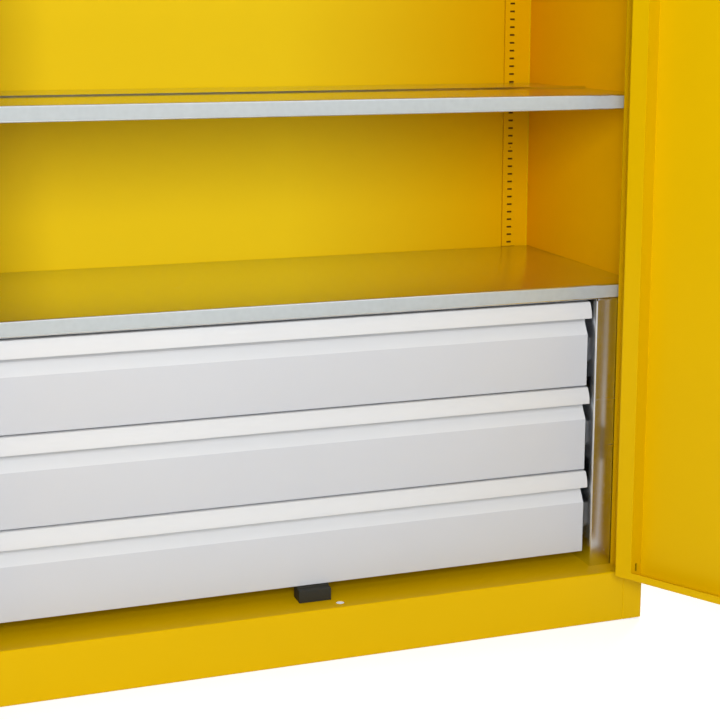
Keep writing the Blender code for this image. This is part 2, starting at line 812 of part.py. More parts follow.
def make_drawer_front(shop, index, level, holder):
    top = level + DRAWER_HEIGHT
    face = DRAWER_FACE
    back = face + FRONT_DEPTH
    outer = [
        (back, level),
        (face, level),
        (face, top - BEVEL_BOTTOM),
        (face + BEVEL_DEPTH, top - BEVEL_TOP),
        (face + BEVEL_DEPTH, top),
    ]
    front = shop.prism(
        f"drawer_front_{index}",
        outer + [(back, top)],
        -DRAWER_HALF,
        DRAWER_HALF,
        "X",
        GREY,
        parent=holder,
    )
    inner = offset(outer, -DRAWER_SHEET)[:4]
    hollow = inner + [(back + OVERRUN, inner[3][1]), (back + OVERRUN, inner[0][1])]
    cutter = shop.prism(
        f"drawer_front_{index}_hollow",
        hollow,
        -DRAWER_HALF + DRAWER_SHEET,
        DRAWER_HALF - DRAWER_SHEET,
        "X",
        GREY,
        parent=holder,
    )
    shop.apply_tool(front, cutter)


def crowned(start, end, crown, steps=CROWN_STEPS):
    """Points of a shallow arc from start to end that bulges to the right of that way."""
    chord = (end[0] - start[0], end[1] - start[1])
    length = math.hypot(*chord)
    normal = (chord[1] / length, -chord[0] / length)
    points = []
    for step in range(steps + 1):
        share = step / steps
        bulge = crown * 4 * share * (1 - share)
        points.append(
            (
                start[0] + chord[0] * share + normal[0] * bulge,
                start[1] + chord[1] * share + normal[1] * bulge,
            )
        )
    return points


def make_drawer_handle(shop, index, level, holder):
    top = level + DRAWER_HEIGHT
    rear = DRAWER_FACE + BEVEL_DEPTH - SEAT_GAP
    lip = crowned(
        (DRAWER_FACE - HANDLE_TOP_REACH, top),
        (DRAWER_FACE - HANDLE_REACH, top - HANDLE_HEIGHT),
        HANDLE_CROWN,
    )
    path = [(rear, top - HANDLE_LEG), (rear, top)] + lip
    shop.prism(
        f"drawer_handle_{index}",
        folded(path, HANDLE_SHEET, 0),
        -DRAWER_HALF,
        DRAWER_HALF,
        "X",
        GREY,
        parent=holder,
        smooth=True,
    )


def make_drawers(shop):
    for index, level in enumerate(drawer_levels(), 1):
        axis = (0, DRAWER_FACE, level + RUNNER_LEVEL)
        holder = slide_holder(shop, f"drawer_{index}_slide", axis)
        middle_holder = slide_holder(shop, f"drawer_{index}_middle_slide", axis)
        make_runners(shop, index, level, middle_holder)
        make_drawer_box(shop, index, level, holder)
        make_drawer_front(shop, index, level, holder)
        make_drawer_handle(shop, index, level, holder)


def slide_holder(shop, name, axis):
    """An empty on a slide's axis, with a second empty that brings its pieces back to cabinet places."""
    on_axis = shop.empty(name, axis, shop.root)
    return shop.empty(name + "_pieces", [-value for value in axis], on_axis)


def make_door(shop, name, side, holder):
    """A door pan in its closed place, measured from the hinge axis that carries it."""
    low = (DOOR_MEETING_GAP / 2, 0, DOOR_BOTTOM)
    high = (DOOR_EDGE, DOOR_THICKNESS, DOOR_TOP)

    def box(a, b):
        a, b = side_box(side, a, b)
        return from_axis(side, a), from_axis(side, b)

    door = shop.block(f"door_{name}", *box(low, high), YELLOW, parent=holder)
    soften = door.modifiers.new("soft_edges", "BEVEL")
    soften.width = DOOR_BEVEL
    soften.segments = BEND_STEPS
    box_start = DOOR_EDGE - DOOR_BOX_WIDTH
    sheet = DOOR_SHEET
    main = box(
        (low[0] + sheet, sheet, DOOR_BOTTOM + sheet),
        (box_start - sheet, DOOR_THICKNESS - sheet, DOOR_TOP - sheet),
    )
    mouth = box(
        (low[0] + DOOR_FREE_LIP, DOOR_THICKNESS / 2, DOOR_BOTTOM + DOOR_END_LIP),
        (box_start - sheet, DOOR_THICKNESS + OVERRUN, DOOR_TOP - DOOR_END_LIP),
    )
    tube = box(
        (box_start, sheet, DOOR_BOTTOM + sheet), (DOOR_EDGE - sheet, DOOR_THICKNESS - sheet, DOOR_TOP - sheet)
    )
    shop.tool(door, f"door_{name}_main_hollow", boxes=[main])
    shop.tool(door, f"door_{name}_mouth", boxes=[mouth])
    shop.tool(door, f"door_{name}_tube", boxes=[tube])
    middle_y = DOOR_THICKNESS / 2
    slots = []
    for z in (DOOR_BOTTOM + DOOR_SLOT_LIFT, DOOR_TOP - DOOR_SLOT_LIFT - DOOR_SLOT_HEIGHT):
        slots.append(
            box(
                (box_start - sheet - OVERRUN, middle_y - DOOR_SLOT_WIDTH / 2, z),
                (box_start + OVERRUN, middle_y + DOOR_SLOT_WIDTH / 2, z + DOOR_SLOT_HEIGHT),
            )
        )
    shop.tool(door, f"door_{name}_slots", boxes=slots)
    return door


def from_axis(side, point):
    """A cabinet place as seen from the hinge axis of one side."""
    return (point[0] - side * HINGE_X, point[1] - HINGE_Y, point[2])


def make_hinges(shop, name, side, holder):
    for index, level in enumerate(HINGE_LEVELS, 1):
        leaf_front = -SEAT_GAP - HINGE_LEAF_SHEET
        middle = level + HINGE_HALF_HEIGHT
        top = middle + SEAT_GAP + HINGE_HALF_HEIGHT
        frame_leaf = side_box(
            side,
            (HINGE_X, leaf_front, level),
            (HINGE_X + HINGE_LEAF_WIDTH, -SEAT_GAP, middle),
        )
        frame_half = shop.block(f"hinge_frame_{name}_{index}", *frame_leaf, STEEL)
        axis = (side * HINGE_X, HINGE_Y)
        shop.tool(
            frame_half,
            f"hinge_frame_{name}_{index}_barrel",
            drums=[((*axis, level), (*axis, middle), HINGE_RADIUS)],
            kind="UNION",
        )
        shop.tool(
            frame_half,
            f"hinge_frame_{name}_{index}_pin",
            drums=[((*axis, middle - HINGE_RADIUS), (*axis, top - HINGE_RADIUS), HINGE_PIN_RADIUS)],
            kind="UNION",
        )
        low, high = side_box(
            side,
            (HINGE_X - HINGE_LEAF_WIDTH, leaf_front, middle + SEAT_GAP),
            (HINGE_X, -SEAT_GAP, top),
        )
        door_half = shop.block(
            f"hinge_door_{name}_{index}",
            from_axis(side, low),
            from_axis(side, high),
            STEEL,
            parent=holder,
        )
        shop.tool(
            door_half,
            f"hinge_door_{name}_{index}_barrel",
            drums=[((0, 0, middle + SEAT_GAP), (0, 0, top), HINGE_RADIUS)],
            kind="UNION",
        )
        shop.tool(
            door_half,
            f"hinge_door_{name}_{index}_bore",
            drums=[
                (
                    (0, 0, middle - OVERRUN),
                    (0, 0, top - HINGE_RADIUS / 2),
                    HINGE_PIN_RADIUS + HINGE_PLAY,
                )
            ],
        )


def make_lock(shop, door, holder):
    """Lock case, cover plate, lever and two rods, measured from the right hinge axis."""

    def at(x, y, z):
        return from_axis(1, (x, y, z))

    rod_hole = ROD_RADIUS + ROD_PLAY
    door_holes = [
        (at(LOCK_X, LOCK_Y, DOOR_BOTTOM - OVERRUN), at(LOCK_X, LOCK_Y, DOOR_BOTTOM + OVERRUN), rod_hole),
        (at(LOCK_X, LOCK_Y, DOOR_TOP - OVERRUN), at(LOCK_X, LOCK_Y, DOOR_TOP + OVERRUN), rod_hole),
        (at(LOCK_X, -OVERRUN, LOCK_LEVEL), at(LOCK_X, OVERRUN, LOCK_LEVEL), SPINDLE_RADIUS + SPINDLE_PLAY),
    ]
    shop.tool(door, "door_right_lock_holes", drums=door_holes)
    case_front = DOOR_SHEET + SEAT_GAP
    half = LOCK_CASE_WIDTH / 2
    rise = LOCK_CASE_HEIGHT / 2
    case = shop.block(
        "lock_case",
        at(LOCK_X - half, case_front, LOCK_LEVEL - rise),
        at(LOCK_X + half, case_front + LOCK_CASE_DEPTH, LOCK_LEVEL + rise),
        STEEL,
        parent=holder,
    )
    bores = [
        (
            at(LOCK_X, LOCK_Y, LOCK_LEVEL + way * (rise - ROD_BORE)),
            at(LOCK_X, LOCK_Y, LOCK_LEVEL + way * (rise + OVERRUN)),
            rod_hole,
        )
        for way in SIDES.values()
    ]
    spindle_bore = (
        at(LOCK_X, -OVERRUN, LOCK_LEVEL),
        at(LOCK_X, SPINDLE_DEPTH + OVERRUN / 2, LOCK_LEVEL),
        SPINDLE_RADIUS + SPINDLE_PLAY,
    )
    shop.tool(case, "lock_case_bores", drums=bores + [spindle_bore])

    lower_holder = shop.empty("rod_lower_slide", at(LOCK_X, LOCK_Y, LOCK_LEVEL), holder)
    upper_holder = shop.empty("rod_upper_slide", at(LOCK_X, LOCK_Y, LOCK_LEVEL), holder)
    tip_low = DOOR_BOTTOM + ROD_TIP_INSET - LOCK_LEVEL
    tip_high = DOOR_TOP - ROD_TIP_INSET - LOCK_LEVEL
    inner_end = rise - ROD_GRIP
    make_rod(shop, "rod_lower", tip_low, -inner_end, lower_holder)
    make_rod(shop, "rod_upper", inner_end, tip_high, upper_holder)

    plate_low = (LOCK_X - PLATE_WIDTH / 2, -SEAT_GAP - PLATE_SHEET, LOCK_LEVEL - PLATE_HEIGHT / 2)
    plate_high = (LOCK_X + PLATE_WIDTH / 2, -SEAT_GAP, LOCK_LEVEL + PLATE_HEIGHT / 2)
    plate = shop.block("lock_plate", at(*plate_low), at(*plate_high), BLACK, parent=holder)
    shop.tool(plate, "lock_plate_hole", drums=[spindle_bore])

    lever_holder = shop.empty("lock_lever_axis", at(LOCK_X, 0, LOCK_LEVEL), holder)
    hub_back = -PLATE_SHEET - 2 * SEAT_GAP
    hub_front = hub_back - LEVER_HUB_LENGTH
    lever = shop.block(
        "lock_lever",
        (0, hub_front, -LEVER_HEIGHT / 2),
        (LEVER_LENGTH, hub_front + LEVER_THICKNESS, LEVER_HEIGHT / 2),
        BLACK,
        parent=lever_holder,
    )
    soften = lever.modifiers.new("soft_edges", "BEVEL")
    soften.width = LEVER_BEVEL
    soften.segments = BEND_STEPS
    shop.tool(
        lever,
        "lock_lever_hub",
        drums=[((0, hub_front - SEAT_GAP, 0), (0, hub_back, 0), LEVER_HUB_RADIUS)],
        kind="UNION",
    )
    shop.tool(
        lever,
        "lock_lever_spindle",
        drums=[((0, hub_front + LEVER_THICKNESS / 2, 0), (0, SPINDLE_DEPTH, 0), SPINDLE_RADIUS)],
        kind="UNION",
    )


def make_rod(shop, name, low, high, holder):
    mesh = bpy.data.meshes.new(name)
    shape = bmesh.new()
    add_drum(shape, (0, 0, low), (0, 0, high), ROD_RADIUS)
    shape.to_mesh(mesh)
    shape.free()
    shop.place(name, mesh, holder, (0, 0, 0), (0, 0, 0), STEEL, smooth=True)


def make_doors(shop):
    for name, side in SIDES.items():
        turn = side * DOOR_OPEN_DEGREES
        holder = shop.empty(f"door_{name}_axis", (side * HINGE_X, HINGE_Y, 0), shop.root, turn)
        door = make_door(shop, name, side, holder)
        make_hinges(shop, name, side, holder)
        if side > 0:
            make_lock(shop, door, holder)


def make_stop_block(shop):
    front = DOOR_THICKNESS + STOP_CLEARANCE
    low = FLOOR_HEIGHT + SEAT_GAP
    outline = [
        (front, low),
        (front + STOP_DEPTH, low),
        (front + STOP_DEPTH, low + STOP_REAR_HEIGHT),
        (front + STOP_STEP, low + STOP_REAR_HEIGHT),
        (front + STOP_STEP, low + STOP_FRONT_HEIGHT),
        (front, low + STOP_FRONT_HEIGHT),
    ]
    shop.prism(
        "stop_block",
        outline,
        STOP_OFFSET - STOP_WIDTH / 2,
        STOP_OFFSET + STOP_WIDTH / 2,
        "X",
        BLACK,
    )


def stand_on_origin(shop):
    """Shifts the cabinet so that the origin is under the middle of its box."""
    graph = bpy.context.evaluated_depsgraph_get()
    places = []
    for piece in shop.parts.objects:
        seen = piece.evaluated_get(graph)
        mesh = seen.to_mesh()
        places += [seen.matrix_world @ vert.co for vert in mesh.vertices]
        seen.to_mesh_clear()
    lows = [min(place[i] for place in places) for i in range(3)]
    highs = [max(place[i] for place in places) for i in range(3)]
    shop.root.location = (-(lows[0] + highs[0]) / 2, -(lows[1] + highs[1]) / 2, -lows[2])
    bpy.context.view_layer.update()


def main():
    clear_scene()
    shop = Shop(new_collection("heavy_duty_cabinet"), new_collection("cutters"))
    make_side_walls(shop)
    make_back_panel(shop)
    make_top_panel(shop)
    make_base_pan(shop)
    make_foot_bars(shop)
    make_strips(shop)
    make_shelves(shop)
    make_shelf_bars(shop)
    make_housing(shop)
    make_drawers(shop)
    make_doors(shop)
    make_stop_block(shop)
    stand_on_origin(shop)


main()
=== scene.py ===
"""Dresses the heavy-duty cabinet for its render.

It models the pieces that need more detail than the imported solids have, gives every piece its finish, and
sets up the floor, the lamps and the camera. It is laid out as a Blender add-on and is run as a script.
All lengths are in metres. X runs to the right, Y runs into the cabinet and Z runs up.
"""

import json
import math
from contextlib import contextmanager

import bmesh
import bpy
from bpy.props import FloatProperty, FloatVectorProperty, IntProperty, PointerProperty
from mathutils import Matrix, Vector


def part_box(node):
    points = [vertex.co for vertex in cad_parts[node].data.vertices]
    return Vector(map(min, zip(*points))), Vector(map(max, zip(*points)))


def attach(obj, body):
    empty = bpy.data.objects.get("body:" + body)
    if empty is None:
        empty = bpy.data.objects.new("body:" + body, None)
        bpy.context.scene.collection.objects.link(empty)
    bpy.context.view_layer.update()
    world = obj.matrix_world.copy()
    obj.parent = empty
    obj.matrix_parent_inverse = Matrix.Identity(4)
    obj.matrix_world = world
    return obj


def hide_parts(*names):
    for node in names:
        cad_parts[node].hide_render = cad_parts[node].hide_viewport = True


bl_info = {
    "name": "Cabinet Dressing",
    "version": (1, 0, 0),
    "blender": (4, 5, 0),
    "location": "3D View > Sidebar > Cabinet",
    "description": "Models the cabinet's detailed pieces, their finishes and the studio around them",
    "category": "Object",
}

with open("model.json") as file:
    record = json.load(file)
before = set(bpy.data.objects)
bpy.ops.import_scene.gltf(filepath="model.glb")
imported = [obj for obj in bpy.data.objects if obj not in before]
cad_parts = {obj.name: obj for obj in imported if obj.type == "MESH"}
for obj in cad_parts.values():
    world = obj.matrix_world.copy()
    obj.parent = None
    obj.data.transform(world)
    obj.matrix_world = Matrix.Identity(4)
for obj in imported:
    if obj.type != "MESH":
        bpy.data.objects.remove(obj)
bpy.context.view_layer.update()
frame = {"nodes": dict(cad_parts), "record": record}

SIDES = {"left": -1, "right": 1}
DRAWERS = (1, 2, 3)
SHELVES = (1, 2, 3)
NEAR = 0.00002
SEED = 0.001
UP = Vector((0, 0, 1))
DOOR_TURN = math.radians(120.0)
JOINTS = {joint["name"]: joint for joint in frame["record"]["behaviour"]["joints"]}
HINGE = Vector((*JOINTS["right_door_swing"]["pos_m"][:2], 0))


class CabinetSizes(bpy.types.PropertyGroup):
    """Sizes of the pieces that are modelled here."""

    sheet: FloatProperty(
        name="Sheet", description="Thickness of the folded steel sheets", default=0.0012, unit="LENGTH"
    )
    housing_sheet: FloatProperty(
        name="Housing sheet", description="Thickness of the drawer housings", default=0.0015, unit="LENGTH"
    )
    bend_radius: FloatProperty(
        name="Bend radius", description="Outer radius of the sheets' bends", default=0.0024, unit="LENGTH"
    )
    bend_steps: IntProperty(name="Bend steps", description="Faces across one bend", default=5)
    edge_softness: FloatProperty(
        name="Edge softness", description="Width of the broken sheet edges", default=0.00025, unit="LENGTH"
    )
    slot_width: FloatProperty(
        name="Slot width", description="Width of a shelf slot", default=0.01, unit="LENGTH"
    )
    slot_height: FloatProperty(
        name="Slot height", description="Height of a shelf slot", default=0.0035, unit="LENGTH"
    )
    slot_pitch: FloatProperty(
        name="Slot pitch", description="Distance from one shelf slot to the next",
        default=0.015, unit="LENGTH",
    )
    slot_level: FloatProperty(
        name="Slot level", description="Height of the slot of the first shelf",
        default=0.9039, unit="LENGTH",
    )
    handle_sheet: FloatProperty(
        name="Handle sheet", description="Thickness of the drawer handles", default=0.0018, unit="LENGTH"
    )
    handle_top_reach: FloatProperty(
        name="Handle top reach", description="Reach of a handle's top past the drawer",
        default=0.004, unit="LENGTH",
    )
    handle_reach: FloatProperty(
        name="Handle reach", description="Reach of a handle's lip past the drawer",
        default=0.0123, unit="LENGTH",
    )
    handle_height: FloatProperty(
        name="Handle height", description="Height of a handle's lip", default=0.0274, unit="LENGTH"
    )
    handle_crown: FloatProperty(
        name="Handle crown", description="Bulge of a handle's lip", default=0.0026, unit="LENGTH"
    )
    bevel_depth: FloatProperty(
        name="Bevel depth", description="Step back of a drawer front at its handle",
        default=0.0134, unit="LENGTH",
    )
    bevel_top: FloatProperty(
        name="Bevel top", description="Drop from a front's top to its bevel", default=0.037, unit="LENGTH"
    )
    bevel_bottom: FloatProperty(
        name="Bevel bottom", description="Drop from a front's top to the bevel's foot",
        default=0.0584, unit="LENGTH",
    )
    front_radius: FloatProperty(
        name="Front radius", description="Radius of a drawer front's bends", default=0.0014, unit="LENGTH"
    )
    shelf_return: FloatProperty(
        name="Shelf return", description="Width of the inward flange under a shelf",
        default=0.012, unit="LENGTH",
    )
    bead_setback: FloatProperty(
        name="Bead setback", description="Distance of the shelf's bead from its front",
        default=0.218, unit="LENGTH",
    )
    bead_width: FloatProperty(
        name="Bead width", description="Width of the shelf's bead", default=0.02, unit="LENGTH"
    )
    bead_height: FloatProperty(
        name="Bead height", description="Height of the shelf's bead", default=0.0035, unit="LENGTH"
    )
    corner_width: FloatProperty(
        name="Corner width", description="Width of a shelf's front corner cuts",
        default=0.0356, unit="LENGTH",
    )
    corner_depth: FloatProperty(
        name="Corner depth", description="Depth of a shelf's front corner cuts",
        default=0.0063, unit="LENGTH",
    )
    rear_corner: FloatProperty(
        name="Rear corner", description="Length that a shelf's rear flange stops short",
        default=0.0581, unit="LENGTH",
    )
    rear_flange: FloatProperty(
        name="Rear flange", description="Width of a housing's rear flange", default=0.044, unit="LENGTH"
    )
    stop_step: FloatProperty(
        name="Stop step", description="Depth of the stop block's low front", default=0.012, unit="LENGTH"
    )
    stop_drop: FloatProperty(
        name="Stop drop", description="Drop of the stop block's low front", default=0.003, unit="LENGTH"
    )
    stop_radius: FloatProperty(
        name="Stop radius", description="Radius of the stop block's edges", default=0.0009, unit="LENGTH"
    )
    plate_radius: FloatProperty(
        name="Plate radius", description="Radius of the cover plate's corners", default=0.006, unit="LENGTH"
    )
    plate_edge: FloatProperty(
        name="Plate edge", description="Radius of the cover plate's front edge",
        default=0.0014, unit="LENGTH",
    )
    lever_play: FloatProperty(
        name="Lever play", description="Gap between the lever's hub and the plate",
        default=0.0003, unit="LENGTH",
    )
    lever_height: FloatProperty(
        name="Lever height", description="Height of the lever's arm", default=0.016, unit="LENGTH"
    )
    lever_thickness: FloatProperty(
        name="Lever thickness", description="Thickness of the lever's arm", default=0.008, unit="LENGTH"
    )
    lever_edge: FloatProperty(
        name="Lever edge", description="Radius of the lever's edges", default=0.002, unit="LENGTH"
    )
    spindle_radius: FloatProperty(
        name="Spindle radius", description="Radius of the lever's spindle", default=0.0045, unit="LENGTH"
    )
    cylinder_radius: FloatProperty(
        name="Cylinder radius", description="Radius of the key cylinder", default=0.0085, unit="LENGTH"
    )
    cylinder_lift: FloatProperty(
        name="Cylinder lift", description="Height of the key cylinder over the plate's foot",
        default=0.024, unit="LENGTH",
    )
    cylinder_sink: FloatProperty(
        name="Cylinder sink", description="How far the key cylinder starts inside the plate",
        default=0.001, unit="LENGTH",
    )
    cylinder_proud: FloatProperty(
        name="Cylinder proud", description="How far the key cylinder stands out",
        default=0.0028, unit="LENGTH",
    )
    cylinder_ring: FloatProperty(
        name="Cylinder ring", description="Width of the key cylinder's rim", default=0.0016, unit="LENGTH"
    )
    key_width: FloatProperty(
        name="Key width", description="Width of the key's slot", default=0.0012, unit="LENGTH"
    )
    key_height: FloatProperty(
        name="Key height", description="Height of the key's slot", default=0.007, unit="LENGTH"
    )
    tip_radius: FloatProperty(
        name="Tip radius", description="Radius of the corners at the lever's tip",
        default=0.0072, unit="LENGTH",
    )
    face_sink: FloatProperty(
        name="Face sink", description="Depth of the key cylinder's face in its rim",
        default=0.0008, unit="LENGTH",
    )
    key_depth: FloatProperty(
        name="Key depth", description="Depth of the key's slot", default=0.00175, unit="LENGTH"
    )
    guide_setback: FloatProperty(
        name="Guide setback", description="Distance of a rod guide from the rod's end",
        default=0.11, unit="LENGTH",
    )
    guide_play: FloatProperty(
        name="Guide play", description="Gap between a rod and its guide", default=0.0008, unit="LENGTH"
    )
    guide_wall: FloatProperty(
        name="Guide wall", description="Thickness of a rod guide's walls", default=0.0045, unit="LENGTH"
    )
    guide_height: FloatProperty(
        name="Guide height", description="Height of a rod guide", default=0.022, unit="LENGTH"
    )
    dot_radius: FloatProperty(
        name="Dot radius", description="Radius of the round hole in a back strip",
        default=0.0013, unit="LENGTH",
    )
    dot_row: IntProperty(
        name="Dot row", description="Slots from the first shelf down to the round hole", default=7
    )
    stile_depth: FloatProperty(
        name="Stile depth", description="Depth at which the side walls' inner faces start",
        default=0.045, unit="LENGTH",
    )
    wall_inside: FloatProperty(
        name="Wall inside", description="Half width just outside the side walls' inner faces",
        default=0.5992, unit="LENGTH",
    )
    # Where the painted shade inside the cabinet starts to take over from the painted light, and where it has
    # taken over.
    shade_start: FloatProperty(
        name="Turn start", description="Where the inner paint starts to change colour",
        default=0.1, unit="LENGTH",
    )
    shade_end: FloatProperty(
        name="Turn end", description="Where the inner paint has changed colour", default=0.55, unit="LENGTH"
    )
    relief: FloatProperty(
        name="Relief", description="Size of the notch at the top of a housing's bend",
        default=0.003, unit="LENGTH",
    )


class CabinetColours(bpy.types.PropertyGroup):
    """Colours of the finishes."""

    yellow: FloatVectorProperty(
        name="Yellow", description="Powder coat of the carcass and the doors",
        subtype="COLOR", default=(0.67, 0.42, 0.0),
    )
    # Painted light: the back's inner face and its strips are a lighter yellow than the same powder coat
    # elsewhere, standing in for the light that falls on them.
    lit_back_yellow: FloatVectorProperty(
        name="Back yellow", description="Powder coat of the back and its strips",
        subtype="COLOR", default=(0.87, 0.605, 0.01),
    )
    # Painted shade: toward its right end the back's inner face turns darker and more orange, as the light
    # comes in from the left.
    shaded_right_yellow: FloatVectorProperty(
        name="Corner yellow", description="Powder coat of the back at its right end",
        subtype="COLOR", default=(0.68, 0.37, 0.0),
    )
    # Painted light: the side walls' inner faces are a lighter yellow than the same powder coat outside,
    # standing in for the light that reaches into the cabinet.
    lit_inner_yellow: FloatVectorProperty(
        name="Inner yellow", description="Powder coat of the side walls' inner faces",
        subtype="COLOR", default=(0.97, 0.53, 0.0),
    )
    # Painted shade: toward the rear the side walls' inner faces turn darker and more orange.
    shaded_rear_yellow: FloatVectorProperty(
        name="Deep yellow", description="Powder coat of the side walls at their rear",
        subtype="COLOR", default=(0.84, 0.38, 0.0),
    )
    # Painted shade: dark brown on the faces behind the slots, where the real hollows are only in shadow.
    painted_slot_shade: FloatVectorProperty(
        name="Cavity", description="Hidden faces behind the slots",
        subtype="COLOR", default=(0.12, 0.045, 0.005),
    )
    grey: FloatVectorProperty(
        name="Grey", description="Powder coat of the drawers", subtype="COLOR", default=(0.55, 0.57, 0.61)
    )
    # Painted light: the drawers' grey made lighter on the handles and the fronts' bevels, which tilt up
    # toward the light.
    lit_grey: FloatVectorProperty(
        name="Pale grey", description="Powder coat of the handles and bevels",
        subtype="COLOR", default=(0.65, 0.67, 0.7),
    )
    zinc: FloatVectorProperty(
        name="Zinc", description="Galvanised sheet", subtype="COLOR", default=(0.76, 0.78, 0.8)
    )
    # Painted reflection: the lips are the same zinc sheet as the shelves' tops, given a fixed grey-blue in
    # place of the even sheen that they reflect.
    painted_sheen_zinc: FloatVectorProperty(
        name="Lip zinc", description="Galvanised sheet on the shelves' lips",
        subtype="COLOR", default=(0.5, 0.55, 0.575),
    )
    # Painted shade: the plating is set darker than the galvanised sheet, so the runners in the narrow gap
    # beside the drawers look as shaded as that gap.
    steel: FloatVectorProperty(
        name="Steel", description="Zinc-plated fittings", subtype="COLOR", default=(0.4, 0.42, 0.45)
    )
    black: FloatVectorProperty(
        name="Black", description="Moulded plastic", subtype="COLOR", default=(0.022, 0.018, 0.015)
    )


def sizes():
    return bpy.context.scene.cabinet_sizes


def colours():
    return bpy.context.scene.cabinet_colours


# Finishes

# Each finish's material and roughness. The record's slots come under their own names.
COATS = {
    "yellow_paint": ("yellow_coat", 0.4),
    # Back coat: painted light inside, painted shade at the right end and behind the slots.
    "back_light_and_shade_coat": ("yellow_coat_back", 0.36),
    # Side coat: painted light on the inner faces, turning to painted shade toward the rear.
    "side_light_and_shade_coat": ("yellow_coat_side", 0.4),
    "grey_paint": ("grey_coat", 0.48),
    # Painted light on the handles and bevels.
    "painted_light_grey": ("grey_coat_pale", 0.42),
    "galvanised_sheet": ("galvanised", 0.24),
    # Lip zinc: a painted even sheen.
    "galvanised_lip": ("galvanised_lip", 0.45),
    "fitting_steel": ("zinc_plate", 0.34),
    "black_plastic": ("black_plastic", 0.5),
}
# The lips are less metallic than the tops, so their painted sheen shows in place of real reflections.
LIP_METALLIC = 0.35
# Share of a strip's sheet past which the painted shade behind its slots starts.
BEHIND_SHARE = 0.9


class Value:
    """A number that a node gives. Sums and comparisons on it add Math nodes."""

    def __init__(self, nodes, socket):
        self.nodes = nodes
        self.socket = socket

    def join(self, operation, first, second):
        return self.nodes.node("ShaderNodeMath", {"operation": operation}, {0: first, 1: second})

    def beside(self, output):
        """Another output of the same node."""
        return Value(self.nodes, self.socket.node.outputs[output])

    def most(self, other):
        return self.join("MAXIMUM", self, other)

    def __add__(self, other):
        return self.join("ADD", self, other)

    def __radd__(self, other):
        return self.join("ADD", other, self)

    def __mul__(self, other):
        return self.join("MULTIPLY", self, other)

    def __rmul__(self, other):
        return self.join("MULTIPLY", other, self)

    def __gt__(self, other):
        return self.join("GREATER_THAN", self, other)

    def __lt__(self, other):
        return self.join("LESS_THAN", self, other)


class Nodes:
    """Makes and links the nodes of one tree."""

    def __init__(self, tree):
        self.tree = tree

    def node(self, kind, settings=None, sockets=None, output=0):
        """Adds a node, sets it up, and fills or links its sockets."""
        node = self.tree.nodes.new(kind)
        for key, value in (settings or {}).items():
            setattr(node, key, value)
        for key, value in (sockets or {}).items():
            self.feed(node.inputs[key], value)
        return Value(self, node.outputs[output])

    def feed(self, socket, value):
        if isinstance(value, Value):
            self.tree.links.new(value.socket, socket)
        else:
            socket.default_value = value

    def show(self, output, value):
        """Links a shader to the surface of the tree's output node."""
        self.feed(self.tree.nodes[output].inputs["Surface"], value)


class Finish(Nodes):
    """A material that is built up node by node."""

    def __init__(self, name, colour, roughness, metallic=0.0):
        self.material = bpy.data.materials.new(name)
        self.material.use_nodes = True
        super().__init__(self.material.node_tree)
        self.shader = self.tree.nodes["Principled BSDF"]
        self.set("Base Color", (*colour, 1.0))
        self.set("Roughness", roughness)
        self.set("Metallic", metallic)
        self.place = self.node("ShaderNodeTexCoord", output="Object")

    def set(self, name, value):
        self.feed(self.shader.inputs[name], value)

    def stretched(self, scale):
        """The place on the piece, stretched by a scale for each axis."""
        return self.node("ShaderNodeMapping", None, {"Vector": self.place, "Scale": scale})

    def noise(self, scale, detail=2.0, place=None):
        """A cloudy value around one half."""
        sockets = {"Vector": place or self.place, "Scale": scale, "Detail": detail}
        return self.node("ShaderNodeTexNoise", None, sockets)

    def blend(self, share, first, second):
        """A colour between two others."""
        return self.node(
            "ShaderNodeMix", {"data_type": "RGBA"}, {0: share, 6: first, 7: second}, output=2
        )

    def axes(self):
        """The place's X and Y, each as a value."""
        across = self.node("ShaderNodeSeparateXYZ", None, {0: self.place})
        return across, across.beside("Y")

    def reach(self):
        """How far the place lies from the cabinet's middle plane."""
        return self.node("ShaderNodeMath", {"operation": "ABSOLUTE"}, {0: self.axes()[0]})

    def inside_light_mask(self):
        """One on the faces that look into the cabinet from its sides and its back, and zero elsewhere: where
        the painted light and shade of the inner faces go.
        """
        depth = self.axes()[1]
        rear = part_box("back_panel")[1].y - sizes().sheet / 2
        return (depth > sizes().stile_depth) * (depth < rear) * (self.reach() < sizes().wall_inside)

    def slot_shade_mask(self):
        """One between the back strips' flanges and behind the front of their webs, and zero elsewhere: where
        the painted shade of the hollows behind the slots goes. It is not stopped at the back panel, so it
        also paints two dark stripes on the cabinet's outer back.
        """
        depth, reach = self.axes()[1], self.reach()
        low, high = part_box("back_strip_right")
        sheet = sizes().sheet
        beside_flanges = (reach > low.x + sheet / 2) * (reach < high.x - sheet / 2)
        return beside_flanges * (depth > low.y + sheet * BEHIND_SHARE)

    def rise(self, value, start, end):
        """A value that climbs from zero to one between two others."""
        return self.node("ShaderNodeMapRange", None, {"Value": value, "From Min": start, "From Max": end})

    def bump(self, height, strength, distance):
        sockets = {"Height": height, "Strength": strength, "Distance": distance}
        self.set("Normal", self.node("ShaderNodeBump", None, sockets))


def shaded(colour, factor):
    return (*(channel * factor for channel in colour[:3]), 1.0)


